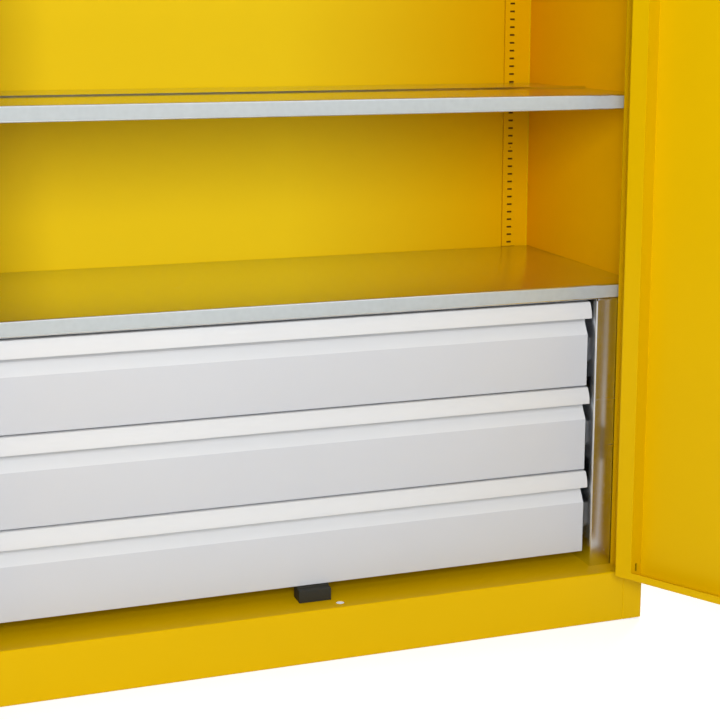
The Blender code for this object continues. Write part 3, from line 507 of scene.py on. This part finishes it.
def powder_coat(name, roughness, colour, inner=None, axis=0):
    """Baked paint: slight patches, and the fine waves of its surface.

    Inside the cabinet it may carry painted light that turns into painted shade along X, axis 0, or Y, axis
    1, and painted shade behind the strips' slots.
    """
    finish = Finish(name, colour, roughness)
    finish.set("Specular IOR Level", 0.12)
    patches = finish.noise(3.5, 3.0)
    coat = finish.blend(patches, shaded(colour, 0.965), shaded(colour, 1.03))
    # Painted light and shade on the inner faces, then painted shade behind the slots.
    if inner:
        share = finish.rise(finish.axes()[axis], sizes().shade_start, sizes().shade_end)
        inside = finish.blend(share, *(shaded(tone, 1) for tone in inner))
        coat = finish.blend(finish.inside_light_mask(), coat, inside)
        # Painted shade on the faces behind the back strips' slots.
        coat = finish.blend(finish.slot_shade_mask(), coat, shaded(colours().painted_slot_shade, 1))
    finish.set("Base Color", coat)
    finish.set("Roughness", roughness - 0.04 + finish.noise(40.0, 3.0) * 0.08)
    waves = finish.noise(420.0, 2.0) + finish.noise(1500.0, 1.0) * 0.35
    finish.bump(waves, 0.12, 0.00015)


def galvanised(name, roughness, colour, metallic=1.0):
    """Zinc-coated sheet, rolled along X: long streaks and faint crystals."""
    finish = Finish(name, colour, roughness, metallic)
    streaks = finish.noise(1.0, 4.0, finish.stretched((3.0, 900.0, 900.0)))
    cells = finish.node(
        "ShaderNodeTexVoronoi", None, {"Vector": finish.place, "Scale": 110.0}, output="Distance"
    )
    crystals = cells * 0.5 + finish.noise(60.0, 3.0) * 0.5
    finish.set("Base Color", finish.blend(crystals, shaded(colour, 0.93), shaded(colour, 1.06)))
    finish.set("Roughness", roughness - 0.07 + streaks * 0.1 + crystals * 0.05)
    finish.bump(streaks, 0.08, 0.0001)


def plated(name, roughness, colour):
    """Zinc plating on pressed fittings."""
    finish = Finish(name, colour, roughness, metallic=1.0)
    clouds = finish.noise(70.0, 4.0)
    finish.set("Base Color", finish.blend(clouds, shaded(colour, 0.85), shaded(colour, 1.1)))
    finish.set("Roughness", roughness - 0.08 + clouds * 0.18)
    finish.bump(finish.noise(900.0, 2.0), 0.1, 0.0001)


def moulded(name, roughness, colour):
    """Plastic with the fine grain of its mould."""
    finish = Finish(name, colour, roughness)
    grain = finish.noise(1800.0, 2.0)
    finish.set("Base Color", finish.blend(finish.noise(60.0), shaded(colour, 0.8), shaded(colour, 1.25)))
    finish.set("Roughness", roughness - 0.06 + grain * 0.12)
    finish.bump(grain, 0.25, 0.00008)


def make_finishes():
    paint = colours()
    powder_coat(*COATS["yellow_paint"], paint.yellow)
    # The back's inner face: painted light that turns to painted shade toward the right.
    powder_coat(*COATS["back_light_and_shade_coat"], paint.yellow, (paint.lit_back_yellow, paint.shaded_right_yellow))
    # The side walls' inner faces: painted light that turns to painted shade toward the rear.
    powder_coat(*COATS["side_light_and_shade_coat"], paint.yellow, (paint.lit_inner_yellow, paint.shaded_rear_yellow), axis=1)
    powder_coat(*COATS["grey_paint"], paint.grey)
    powder_coat(*COATS["painted_light_grey"], paint.lit_grey)
    galvanised(*COATS["galvanised_sheet"], paint.zinc)
    galvanised(*COATS["galvanised_lip"], paint.painted_sheen_zinc, LIP_METALLIC)
    plated(*COATS["fitting_steel"], paint.steel)
    moulded(*COATS["black_plastic"], paint.black)


def coat(name):
    """The material of a finish."""
    return bpy.data.materials[COATS[name][0]]


# Modelling


def use_alone(piece):
    """Selects one piece and makes it the active one."""
    bpy.ops.object.select_all(action="DESELECT")
    piece.select_set(True)
    bpy.context.view_layer.objects.active = piece


@contextmanager
def editing(piece):
    """Edit mode on one piece alone."""
    use_alone(piece)
    bpy.ops.object.mode_set(mode="EDIT")
    bpy.ops.mesh.select_mode(type="VERT")
    yield
    bpy.ops.object.mode_set(mode="OBJECT")


def middle(part):
    """The mean place of a vertex's, an edge's or a face's corners."""
    corners = getattr(part, "verts", None) or [part]
    return sum((corner.co for corner in corners), Vector()) / len(corners)


def pick(kind, test):
    """Selects the vertices, edges or faces whose middle passes the test, and nothing else.

    It is an error when there are none.
    """
    bpy.ops.mesh.select_mode(type=kind)
    bpy.ops.mesh.select_all(action="DESELECT")
    mesh = bpy.context.edit_object.data
    shape = bmesh.from_edit_mesh(mesh)
    parts = {"VERT": shape.verts, "EDGE": shape.edges, "FACE": shape.faces}[kind]
    chosen = [part for part in parts if test(middle(part))]
    if not chosen:
        raise RuntimeError(f"{bpy.context.edit_object.name} has no such {kind.lower()}")
    for part in chosen:
        part.select_set(True)
    shape.select_flush_mode()
    bmesh.update_edit_mesh(mesh)


def slice_at(place, normal, drop=False):
    """Cuts the whole piece along a plane, and drops what lies beyond it if asked."""
    bpy.ops.mesh.select_all(action="SELECT")
    bpy.ops.mesh.bisect(plane_co=place, plane_no=normal, clear_outer=drop)


def start_piece(name, place):
    """A tiny plane at a place, which a piece is grown from."""
    bpy.ops.object.select_all(action="DESELECT")
    bpy.ops.mesh.primitive_plane_add(size=SEED, location=place)
    piece = bpy.context.object
    piece.name = name
    piece.data.name = name
    bpy.ops.object.transform_apply(location=True, rotation=False, scale=False)
    return piece


def draw_line(name, points):
    """A piece that is one line through the points."""
    piece = start_piece(name, points[0])
    with editing(piece):
        bpy.ops.mesh.select_all(action="SELECT")
        bpy.ops.mesh.merge(type="CENTER")
        for start, end in zip(points, points[1:]):
            bpy.ops.mesh.extrude_vertices_move(TRANSFORM_OT_translate={"value": Vector(end) - Vector(start)})
    return piece


def bend_edge(place, angle):
    """Rounds the edge at a place, where the sheet turns by an angle."""
    pick("EDGE", lambda spot: (spot - place).length < NEAR)
    setback = sizes().bend_radius * math.tan(angle / 2)
    bpy.ops.mesh.bevel(offset=setback, offset_type="OFFSET", segments=sizes().bend_steps, affect="EDGES")


def fold_sheet(name, points, run, bends=None):
    """A sheet that follows the points and is as long as run, with all or the listed bends rounded."""
    points = [Vector(point) for point in points]
    piece = draw_line(name, points)
    with editing(piece):
        bpy.ops.mesh.select_all(action="SELECT")
        bpy.ops.mesh.extrude_edges_move(TRANSFORM_OT_translate={"value": run})
        for index in bends or range(1, len(points) - 1):
            before = points[index] - points[index - 1]
            after = points[index + 1] - points[index]
            bend_edge(points[index] + run / 2, before.angle(after))
    return piece


def face_outward():
    """Turns all faces of the edited piece outward."""
    bpy.ops.mesh.select_all(action="SELECT")
    bpy.ops.mesh.normals_make_consistent(inside=False)


def extrude_shape(name, outline, run):
    """A closed solid: the outline's face, drawn out along run."""
    piece = draw_line(name, outline)
    with editing(piece):
        bpy.ops.mesh.select_all(action="SELECT")
        bpy.ops.mesh.edge_face_add()
        bpy.ops.mesh.extrude_region_move(TRANSFORM_OT_translate={"value": run})
        face_outward()
    return piece


def round_edges(piece, radius, test, steps=3):
    """Rounds the edges whose middle passes the test."""
    with editing(piece):
        pick("EDGE", test)
        bpy.ops.mesh.bevel(offset=radius, offset_type="OFFSET", segments=steps, affect="EDGES")


def drop_faces(piece, test):
    """Deletes the faces whose middle passes the test."""
    with editing(piece):
        pick("FACE", test)
        bpy.ops.mesh.delete(type="FACE")


def lay_disc(name, place, radius, vertices=48):
    """A round face at a place that looks along Y, to be drawn out into a hub or a cylinder."""
    bpy.ops.object.select_all(action="DESELECT")
    bpy.ops.mesh.primitive_circle_add(vertices=vertices, radius=radius, fill_type="NGON")
    piece = bpy.context.object
    piece.name = name
    piece.data.name = name
    with editing(piece):
        bpy.ops.mesh.select_all(action="SELECT")
        bpy.ops.transform.rotate(value=math.pi / 2, orient_axis="X", center_override=(0, 0, 0))
        bpy.ops.transform.translate(value=place)
    return piece


def draw_out(piece, way):
    """Draws the piece's one face out along Y."""
    with editing(piece):
        bpy.ops.mesh.select_mode(type="FACE")
        bpy.ops.mesh.select_all(action="SELECT")
        bpy.ops.mesh.extrude_region_move(TRANSFORM_OT_translate={"value": (0, way, 0)})
        face_outward()


def join(first, *others):
    """Joins pieces into the first of them."""
    use_alone(first)
    for other in others:
        other.select_set(True)
    bpy.ops.object.join()
    return first


def closed_box(node):
    """The box of a node of the right door as it lies when the door is closed, from the hinge's axis."""
    turn = Matrix.Rotation(-DOOR_TURN, 4, "Z") @ Matrix.Translation(-HINGE)
    corners = [turn @ corner.co for corner in frame["nodes"][node].data.vertices]
    low = Vector([min(corner[axis] for corner in corners) for axis in range(3)])
    high = Vector([max(corner[axis] for corner in corners) for axis in range(3)])
    return low, high


def open_with_door(piece):
    """Turns a piece that was made in the closed door's place to where the open door is."""
    with editing(piece):
        bpy.ops.mesh.select_all(action="SELECT")
        bpy.ops.transform.rotate(value=-DOOR_TURN, orient_axis="Z", center_override=(0, 0, 0))
        bpy.ops.transform.translate(value=HINGE)
    return piece


def apply_modifier(piece, kind, **settings):
    """Adds a modifier with its settings and applies it."""
    use_alone(piece)
    modifier = piece.modifiers.new(kind.lower(), kind)
    for key, value in settings.items():
        setattr(modifier, key, value)
    bpy.ops.object.modifier_apply(modifier=modifier.name)


def thicken(piece, thickness, inside):
    """Gives a sheet its thickness. Its largest face shows which way leads to the place inside."""
    with editing(piece):
        face_outward()
    face = max(piece.data.polygons, key=lambda polygon: polygon.area)
    side = 1 if face.normal.dot(Vector(inside) - face.center) > 0 else -1
    apply_modifier(piece, "SOLIDIFY", thickness=thickness, offset=side, use_even_offset=True)


def soften(piece, width=None, steps=2, degrees=50.0):
    """Breaks the edges that are sharper than an angle."""
    apply_modifier(
        piece,
        "BEVEL",
        width=width or sizes().edge_softness,
        segments=steps,
        limit_method="ANGLE",
        angle_limit=math.radians(degrees),
    )


def shade(piece, degrees=35.0):
    use_alone(piece)
    bpy.ops.object.shade_smooth_by_angle(angle=math.radians(degrees))


def hand_over(piece, body, slot, *nodes):
    """Finishes a piece: its material, its body, and the solids that it stands for."""
    with editing(piece):
        bpy.ops.mesh.select_all(action="SELECT")
        bpy.ops.mesh.remove_doubles(threshold=NEAR / 4)
        bpy.ops.mesh.normals_make_consistent(inside=False)
    shade(piece)
    piece.data.materials.clear()
    piece.data.materials.append(coat(slot))
    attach(piece, body)
    if nodes:
        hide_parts(*nodes)
    return piece


def coat_faces(piece, name, test):
    """Gives the faces whose middle passes the test a finish of their own."""
    piece.data.materials.append(coat(name))
    with editing(piece):
        pick("FACE", test)
        piece.active_material_index = len(piece.data.materials) - 1
        bpy.ops.object.material_slot_assign()


# Operators

# The back and the side walls take the coats that carry painted light and shade on their inner faces.
SPECIAL_COATS = {
    "back_panel": "back_light_and_shade_coat",
    "side_wall_left": "side_light_and_shade_coat",
    "side_wall_right": "side_light_and_shade_coat",
}


class CABINET_OT_finishes(bpy.types.Operator):
    """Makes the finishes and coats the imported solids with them"""

    bl_idname = "cabinet.finishes"
    bl_label = "Finishes"

    def execute(self, context):
        make_finishes()
        for row in frame["record"]["subparts"]:
            name = SPECIAL_COATS.get(row["node"], row["material_slot"])
            for slot in frame["nodes"][row["node"]].material_slots:
                slot.material = coat(name)
        return {"FINISHED"}


class CABINET_OT_strips(bpy.types.Operator):
    """Models the slotted strips that the shelves hang from"""

    bl_idname = "cabinet.strips"
    bl_label = "Slotted Strips"

    def execute(self, context):
        for name, side in SIDES.items():
            self.strip(f"back_strip_{name}", forward=True)
            self.strip(f"front_strip_{name}", forward=False)
        return {"FINISHED"}

    def strip(self, node, forward):
        """One strip. Its web faces the cabinet's inside, and its two flanges run away from it."""
        size = sizes()
        low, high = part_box(node)
        web = low.y if forward else high.y
        away = high.y - low.y if forward else low.y - high.y
        centre = (low.x + high.x) / 2
        rows = math.ceil((size.slot_level - low.z) / size.slot_pitch)
        cell_low = size.slot_level - size.slot_pitch / 2 - rows * size.slot_pitch
        count = math.ceil((high.z - cell_low) / size.slot_pitch)
        outline = ((low.x, web + away), (low.x, web), (high.x, web), (high.x, web + away))
        points = [(*place, cell_low) for place in outline]
        strip = draw_line(f"slotted_{node}", points)
        slot = Vector((centre, web, cell_low + size.slot_pitch / 2))
        with editing(strip):
            bpy.ops.mesh.select_all(action="SELECT")
            bpy.ops.mesh.extrude_edges_move(TRANSFORM_OT_translate={"value": UP * size.slot_pitch})
            for reach, normal in ((size.slot_width / 2, Vector((1, 0, 0))), (size.slot_height / 2, UP)):
                slice_at(slot + normal * reach, normal)
                slice_at(slot - normal * reach, normal)
            pick("FACE", lambda spot: (spot - slot).length < NEAR)
            bpy.ops.mesh.delete(type="FACE")
        apply_modifier(
            strip,
            "ARRAY",
            count=count,
            use_relative_offset=False,
            use_constant_offset=True,
            constant_offset_displace=UP * size.slot_pitch,
            use_merge_vertices=True,
            merge_threshold=NEAR,
        )
        with editing(strip):
            slice_at(low, -UP, drop=True)
            slice_at(high, UP, drop=True)
        thicken(strip, size.sheet, (centre, web + away, (low.z + high.z) / 2))
        if forward:
            level = size.slot_level - (size.dot_row + 0.5) * size.slot_pitch
            self.punch(strip, Vector((centre, web - size.sheet, level)))
        hand_over(strip, "carcass", "yellow_paint", node)
        if forward:
            # The back strips take the back's coat, with its painted light and the painted shade behind their
            # slots.
            strip.data.materials[0] = coat("back_light_and_shade_coat")

    def punch(self, strip, place):
        """Punches the small round hole between two slots."""
        punch = lay_disc("punch", place, sizes().dot_radius, vertices=12)
        draw_out(punch, 3 * sizes().sheet)
        apply_modifier(strip, "BOOLEAN", object=punch, operation="DIFFERENCE", solver="EXACT")
        bpy.data.objects.remove(punch)


class CABINET_OT_shelves(bpy.types.Operator):
    """Folds the shelves and the shelf that covers the drawers"""

    bl_idname = "cabinet.shelves"
    bl_label = "Shelves"

    def execute(self, context):
        self.shelf("cover_shelf", 0)
        for number in SHELVES:
            self.shelf(f"shelf_{number}", sizes().bead_height)
        return {"FINISHED"}

    def shelf(self, node, bead):
        size = sizes()
        low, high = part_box(node)
        top = high.z - bead
        profile = [(low.y + size.shelf_return, low.z), (low.y, low.z), (low.y, top)]
        if bead:
            start = low.y + size.bead_setback
            end = start + size.bead_width
            profile += [(start, top), (start + bead, high.z), (end - bead, high.z), (end, top)]
        profile += [(high.y, top), (high.y, low.z), (high.y - size.shelf_return, low.z)]
        run = Vector((high.x - low.x, 0, 0))
        shelf = fold_sheet(f"folded_{node}", [(low.x, *place) for place in profile], run)
        across = Vector((1, 0, 0))
        inner = high.x - size.corner_width
        behind = low.y + size.corner_depth
        with editing(shelf):
            for side in SIDES.values():
                slice_at(across * side * inner, across)
            slice_at((0, behind, 0), (0, 1, 0))
        drop_faces(shelf, lambda spot: abs(spot.x) > inner and spot.y < behind)
        if bead:
            short = high.x - size.rear_corner
            rear = high.y - size.shelf_return - NEAR
            level = top - size.bend_radius - NEAR
            with editing(shelf):
                for side in SIDES.values():
                    slice_at(across * side * short, across)
            drop_faces(shelf, lambda spot: abs(spot.x) > short and spot.y > rear and spot.z < level)
        thicken(shelf, size.sheet, (0, (low.y + high.y) / 2, low.z))
        soften(shelf)
        hand_over(shelf, "carcass", "galvanised_sheet", node)
        # The lips' front faces take the zinc with the painted even sheen.
        coat_faces(shelf, "galvanised_lip", lambda spot: spot.y < low.y + NEAR)


class CABINET_OT_housings(bpy.types.Operator):
    """Folds the two sheets that carry the drawers"""

    bl_idname = "cabinet.housings"
    bl_label = "Drawer Housings"

    def execute(self, context):
        size = sizes()
        for name, side in SIDES.items():
            node = f"drawer_housing_{name}"
            low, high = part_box(node)
            wall, face = (low.x, high.x) if side < 0 else (high.x, low.x)
            rear = face + side * size.rear_flange
            outline = ((wall, low.y), (face, low.y), (face, high.y), (rear, high.y))
            run = Vector((0, 0, high.z - low.z))
            housing = fold_sheet(f"folded_{node}", [(*place, low.z) for place in outline], run)
            edge_x = face + side * size.relief
            edge_y = low.y + size.relief
            level = high.z - size.relief
            with editing(housing):
                slice_at((edge_x, 0, 0), (1, 0, 0))
                slice_at((0, edge_y, 0), (0, 1, 0))
                slice_at((0, 0, level), UP)
            drop_faces(
                housing,
                lambda spot: abs(spot.x) < abs(edge_x) and spot.y < edge_y and spot.z > level,
            )
            thicken(housing, size.housing_sheet, (wall, (low.y + high.y) / 2, (low.z + high.z) / 2))
            soften(housing)
            hand_over(housing, "carcass", "galvanised_sheet", node)
        return {"FINISHED"}


class CABINET_OT_fronts(bpy.types.Operator):
    """Folds the drawer fronts with their bevels and closed ends"""

    bl_idname = "cabinet.fronts"
    bl_label = "Drawer Fronts"

    def execute(self, context):
        for number in DRAWERS:
            self.front(number)
        return {"FINISHED"}

    def front(self, number):
        size = sizes()
        node = f"drawer_front_{number}"
        low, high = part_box(node)
        recess = low.y + size.bevel_depth
        profile = [
            (high.y, low.z),
            (low.y, low.z),
            (low.y, high.z - size.bevel_bottom),
            (recess, high.z - size.bevel_top),
            (recess, high.z),
            (high.y, high.z),
        ]
        run = Vector((high.x - low.x, 0, 0))
        front = extrude_shape(f"folded_{node}", [(low.x, *place) for place in profile], run)
        round_edges(front, size.front_radius, lambda spot: spot.y < recess - NEAR)
        drop_faces(front, lambda spot: spot.y > high.y - NEAR or spot.z > high.z - NEAR)
        thicken(front, size.sheet, (0, high.y, (low.z + high.z) / 2))
        soften(front)
        hand_over(front, f"drawer_{number}", "grey_paint", node)
        # The bevel takes the lighter grey: painted light on a face that tilts up toward the light.
        top = high.z - size.bevel_top - size.front_radius
        foot = high.z - size.bevel_bottom
        coat_faces(front, "painted_light_grey", lambda spot: foot < spot.z < top and low.y < spot.y < recess)


class CABINET_OT_handles(bpy.types.Operator):
    """Models the crowned handle rails of the drawers"""

    bl_idname = "cabinet.handles"
    bl_label = "Drawer Handles"

    def execute(self, context):
        for number in DRAWERS:
            self.handle(number)
        return {"FINISHED"}

    def handle(self, number):
        size = sizes()
        node = f"drawer_handle_{number}"
        low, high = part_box(node)
        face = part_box(f"drawer_front_{number}")[0].y
        top = Vector((low.x, face - size.handle_top_reach, high.z))
        foot = Vector((low.x, face - size.handle_reach, high.z - size.handle_height))
        leg = [Vector((low.x, high.y, low.z)), Vector((low.x, high.y, high.z))]
        run = Vector((high.x - low.x, 0, 0))
        points = leg + crowned(top, foot, size.handle_crown)
        handle = fold_sheet(f"crowned_{node}", points, run, bends=(1, 2))
        thicken(handle, size.handle_sheet, (0, (low.y + high.y) / 2, low.z))
        soften(handle)
        hand_over(handle, f"drawer_{number}", "grey_paint", node)
        # The handle takes the lighter grey: painted light.
        coat_faces(handle, "painted_light_grey", lambda spot: spot.y < high.y + size.sheet)


def crowned(start, end, crown, steps=20):
    """Points from start to end on a shallow arc that bulges forward."""
    chord = end - start
    outward = Vector((0, chord.z, -chord.y)).normalized()
    points = []
    for step in range(steps + 1):
        share = step / steps
        points.append(start + chord * share + outward * (crown * 4 * share * (1 - share)))
    return points


class CABINET_OT_stop(bpy.types.Operator):
    """Models the stepped block that stops the doors"""

    bl_idname = "cabinet.stop"
    bl_label = "Stop Block"

    def execute(self, context):
        size = sizes()
        low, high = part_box("stop_block")
        step = low.y + size.stop_step
        shoulder = high.z - size.stop_drop
        profile = [
            (low.y, low.z),
            (low.y, shoulder),
            (step, shoulder),
            (step, high.z),
            (high.y, high.z),
            (high.y, low.z),
        ]
        run = Vector((high.x - low.x, 0, 0))
        block = extrude_shape("moulded_stop_block", [(low.x, *place) for place in profile], run)
        soften(block, size.stop_radius, steps=4)
        hand_over(block, "carcass", "black_plastic", "stop_block")
        return {"FINISHED"}


def rectangle(left, right, depth, foot, top):
    """The corners of a rectangle that faces along Y."""
    return [(left, depth, foot), (right, depth, foot), (right, depth, top), (left, depth, top)]


class CABINET_OT_lock(bpy.types.Operator):
    """Models the lever, its cover plate and the key cylinder"""

    bl_idname = "cabinet.lock"
    bl_label = "Lock"

    def execute(self, context):
        self.plate()
        self.lever()
        self.cylinder()
        return {"FINISHED"}

    def plate(self):
        size = sizes()
        low, high = closed_box("lock_plate")
        outline = rectangle(low.x, high.x, high.y, low.z, high.z)
        plate = extrude_shape("moulded_lock_plate", outline, Vector((0, low.y - high.y, 0)))
        middle_y = (low.y + high.y) / 2
        round_edges(plate, size.plate_radius, lambda spot: abs(spot.y - middle_y) < NEAR, steps=8)
        round_edges(plate, size.plate_edge, lambda spot: spot.y < low.y + NEAR, steps=4)
        hand_over(open_with_door(plate), "right_door", "black_plastic", "lock_plate")

    def lever(self):
        """A round hub on its spindle, and a flat arm with a round end."""
        size = sizes()
        low, high = closed_box("lock_lever")
        radius = (high.z - low.z) / 2
        root = closed_box("lock_plate")[0].y - size.lever_play
        centre = Vector((low.x + radius, root, low.z + radius))
        hub = lay_disc("turning_lock_lever", centre, radius)
        draw_out(hub, low.y - root)
        round_edges(hub, size.lever_edge, lambda spot: spot.y < low.y + NEAR, steps=4)
        spindle = lay_disc("lever_spindle", centre, size.spindle_radius, vertices=24)
        draw_out(spindle, high.y - root)
        half = size.lever_height / 2
        back = low.y + size.lever_thickness
        outline = rectangle(centre.x, high.x, back, centre.z - half, centre.z + half)
        arm = extrude_shape("lever_arm", outline, Vector((0, low.y - back, 0)))
        middle_y = (low.y + back) / 2
        tip = high.x - NEAR
        round_edges(
            arm, size.tip_radius, lambda spot: spot.x > tip and abs(spot.y - middle_y) < NEAR, steps=10
        )
        start = centre.x + NEAR
        round_edges(arm, size.lever_edge, lambda spot: spot.y < low.y + NEAR and spot.x > start, steps=4)
        lever = join(hub, spindle, arm)
        hand_over(open_with_door(lever), "lever", "black_plastic", "lock_lever")

    def cylinder(self):
        """The key cylinder under the lever: a raised ring, a sunk face and the key's slot."""
        size = sizes()
        low, high = closed_box("lock_plate")
        centre = Vector(((low.x + high.x) / 2, low.y + size.cylinder_sink, low.z + size.cylinder_lift))
        cylinder = lay_disc("key_cylinder", centre, size.cylinder_radius)
        rise = size.cylinder_sink + size.cylinder_proud
        draw_out(cylinder, -rise)
        front = centre.y - rise
        with editing(cylinder):
            pick("FACE", lambda spot: spot.y < front + NEAR)
            bpy.ops.mesh.inset(thickness=size.cylinder_ring, depth=0)
            bpy.ops.mesh.extrude_region_move(TRANSFORM_OT_translate={"value": (0, size.face_sink, 0)})
            for reach, normal in ((size.key_width / 2, Vector((1, 0, 0))), (size.key_height / 2, UP)):
                slice_at(centre + normal * reach, normal)
                slice_at(centre - normal * reach, normal)
            slot = Vector((centre.x, front + size.face_sink, centre.z))
            pick("FACE", lambda spot: (spot - slot).length < NEAR)
            bpy.ops.mesh.extrude_region_move(TRANSFORM_OT_translate={"value": (0, size.key_depth, 0)})
        soften(cylinder)
        hand_over(open_with_door(cylinder), "right_door", "fitting_steel")


class CABINET_OT_guides(bpy.types.Operator):
    """Models the clips that the lock's rods slide in"""

    bl_idname = "cabinet.guides"
    bl_label = "Rod Guides"

    def execute(self, context):
        size = sizes()
        pan = closed_box("door_right")[0].y + size.sheet + NEAR
        for node, end in (("rod_lower", 0), ("rod_upper", 1)):
            low, high = closed_box(node)
            level = low.z + size.guide_setback if end == 0 else high.z - size.guide_setback
            centre_x = (low.x + high.x) / 2
            slot = (high.x - low.x) / 2 + size.guide_play
            wall = slot + size.guide_wall
            floor_y = low.y - size.guide_play
            top_y = high.y + size.guide_play
            profile = [
                (centre_x - wall, pan),
                (centre_x + wall, pan),
                (centre_x + wall, top_y),
                (centre_x + slot, top_y),
                (centre_x + slot, floor_y),
                (centre_x - slot, floor_y),
                (centre_x - slot, top_y),
                (centre_x - wall, top_y),
            ]
            run = Vector((0, 0, size.guide_height))
            guide = extrude_shape(f"guide_{node}", [(*place, level) for place in profile], run)
            soften(guide, size.stop_radius, steps=3)
            hand_over(open_with_door(guide), "right_door", "black_plastic")
        return {"FINISHED"}


# Each lamp's place, width and power in watts.
LAMPS = {
    "front_lamp": ((-1.0, -3.5, 1.7), 1.6, 136.0),
    "high_lamp": ((-0.3, -2.2, 3.4), 1.4, 18.0),
    "rear_right_lamp": ((2.4, 3.0, 2.8), 2.0, 120.0),
    "rear_left_lamp": ((-2.6, 2.6, 2.8), 2.0, 90.0),
}
LAMP_TARGET = Vector((0.2, 0.1, 0.7))
SOFT_LIGHT = 0.03
WHITE = (1.0, 1.0, 1.0, 1.0)
FLOOR_SIZE = 12.0
FLOOR_DROP = 0.0005
FLOOR_GREY = (0.8, 0.8, 0.8, 1.0)
# What the floor glows with near the object, and how far the change to white reaches.
FLOOR_GLOW = (0.6, 0.6, 0.6, 1.0)
POOL_RADIUS = 4.0
CAMERA_PLACE = (-0.6991, -2.2562, 1.050)
CAMERA_PITCH = math.radians(10.156)
CAMERA_YAW = math.radians(18.923)
CAMERA_SENSOR = 36.0
CAMERA_LENS = 76.622
CAMERA_SHIFT = -0.10


class CABINET_OT_stage(bpy.types.Operator):
    """Sets up the floor, the world, the lamps and the camera"""

    bl_idname = "cabinet.stage"
    bl_label = "Stage"

    def execute(self, context):
        self.floor()
        self.world(context.scene)
        self.lamps()
        self.camera(context.scene)
        context.scene.view_settings.view_transform = "Standard"
        return {"FINISHED"}

    def floor(self):
        """A pale floor that keeps the shadow near the object and is plain white further out."""
        bpy.ops.object.select_all(action="DESELECT")
        bpy.ops.mesh.primitive_plane_add(size=FLOOR_SIZE, location=(0, 0, -FLOOR_DROP))
        floor = bpy.context.object
        floor.name = "studio_floor"
        finish = Finish("studio_floor", FLOOR_GREY[:3], 1.0)
        seen = finish.node("ShaderNodeLightPath", output="Is Camera Ray")
        place = finish.stretched((1 / POOL_RADIUS, 1 / POOL_RADIUS, 0))
        pool = finish.node("ShaderNodeTexGradient", {"gradient_type": "SPHERICAL"}, {0: place})
        tone = finish.blend(finish.rise(pool, 0.0, 0.5), WHITE, FLOOR_GLOW)
        glow = finish.node("ShaderNodeEmission", None, {"Color": tone, "Strength": 1.0})
        matt = finish.node("ShaderNodeBsdfDiffuse", None, {"Color": FLOOR_GREY})
        pale = finish.node("ShaderNodeAddShader", None, {0: glow, 1: matt})
        plain_floor = Value(finish, finish.shader.outputs[0])
        mixed = finish.node("ShaderNodeMixShader", None, {0: seen, 1: plain_floor, 2: pale})
        finish.show("Material Output", mixed)
        floor.data.materials.append(finish.material)

    def world(self, scene):
        """A little soft light, and plain white for the camera and for what metal shows."""
        world = bpy.data.worlds.new("studio_world")
        scene.world = world
        world.use_nodes = True
        nodes = Nodes(world.node_tree)
        soft = nodes.node("ShaderNodeBackground", None, {"Color": WHITE, "Strength": SOFT_LIGHT})
        white = nodes.node("ShaderNodeBackground", None, {"Color": WHITE, "Strength": 1.0})
        camera_ray = nodes.node("ShaderNodeLightPath", output="Is Camera Ray")
        glossy_ray = camera_ray.beside("Is Glossy Ray")
        seen = camera_ray.most(glossy_ray.most(camera_ray.beside("Is Transmission Ray")))
        nodes.show("World Output", nodes.node("ShaderNodeMixShader", None, {0: seen, 1: soft, 2: white}))

    def lamps(self):
        """One lamp shines into the shelves from the left, and a weak one from above.

        Two behind light the back and the outer sides.
        """
        for name, (place, width, power) in LAMPS.items():
            bpy.ops.object.light_add(type="AREA", location=place)
            lamp = bpy.context.object
            lamp.name = name
            lamp.data.size = width
            lamp.data.energy = power
            lamp.visible_glossy = False
            lamp.rotation_euler = (LAMP_TARGET - Vector(place)).to_track_quat("-Z", "Y").to_euler()

    def camera(self, scene):
        """The photograph's view. The shift is what the other views have room for."""
        turn = (math.radians(90.0) - CAMERA_PITCH, 0.0, -CAMERA_YAW)
        bpy.ops.object.camera_add(location=CAMERA_PLACE, rotation=turn)
        camera = bpy.context.object
        camera.name = "photo_camera"
        camera.data.sensor_width = CAMERA_SENSOR
        camera.data.lens = CAMERA_LENS
        camera.data.shift_y = CAMERA_SHIFT
        scene.camera = camera


class CABINET_PT_panel(bpy.types.Panel):
    """Lists the cabinet's steps"""

    bl_label = "Cabinet"
    bl_idname = "CABINET_PT_panel"
    bl_space_type = "VIEW_3D"
    bl_region_type = "UI"
    bl_category = "Cabinet"

    def draw(self, context):
        for step in STEPS:
            self.layout.operator(step.bl_idname)


STEPS = (
    CABINET_OT_finishes,
    CABINET_OT_strips,
    CABINET_OT_shelves,
    CABINET_OT_housings,
    CABINET_OT_fronts,
    CABINET_OT_handles,
    CABINET_OT_stop,
    CABINET_OT_lock,
    CABINET_OT_guides,
    CABINET_OT_stage,
)
CLASSES = (CabinetSizes, CabinetColours, *STEPS, CABINET_PT_panel)


def register():
    for item in CLASSES:
        bpy.utils.register_class(item)
    bpy.types.Scene.cabinet_sizes = PointerProperty(type=CabinetSizes)
    bpy.types.Scene.cabinet_colours = PointerProperty(type=CabinetColours)


def unregister():
    del bpy.types.Scene.cabinet_colours
    del bpy.types.Scene.cabinet_sizes
    for item in reversed(CLASSES):
        bpy.utils.unregister_class(item)


def main():
    register()
    bpy.ops.cabinet.finishes()
    bpy.ops.cabinet.strips()
    bpy.ops.cabinet.shelves()
    bpy.ops.cabinet.housings()
    bpy.ops.cabinet.fronts()
    bpy.ops.cabinet.handles()
    bpy.ops.cabinet.stop()
    bpy.ops.cabinet.lock()
    bpy.ops.cabinet.guides()
    bpy.ops.cabinet.stage()


if __name__ == "__main__":
    main()
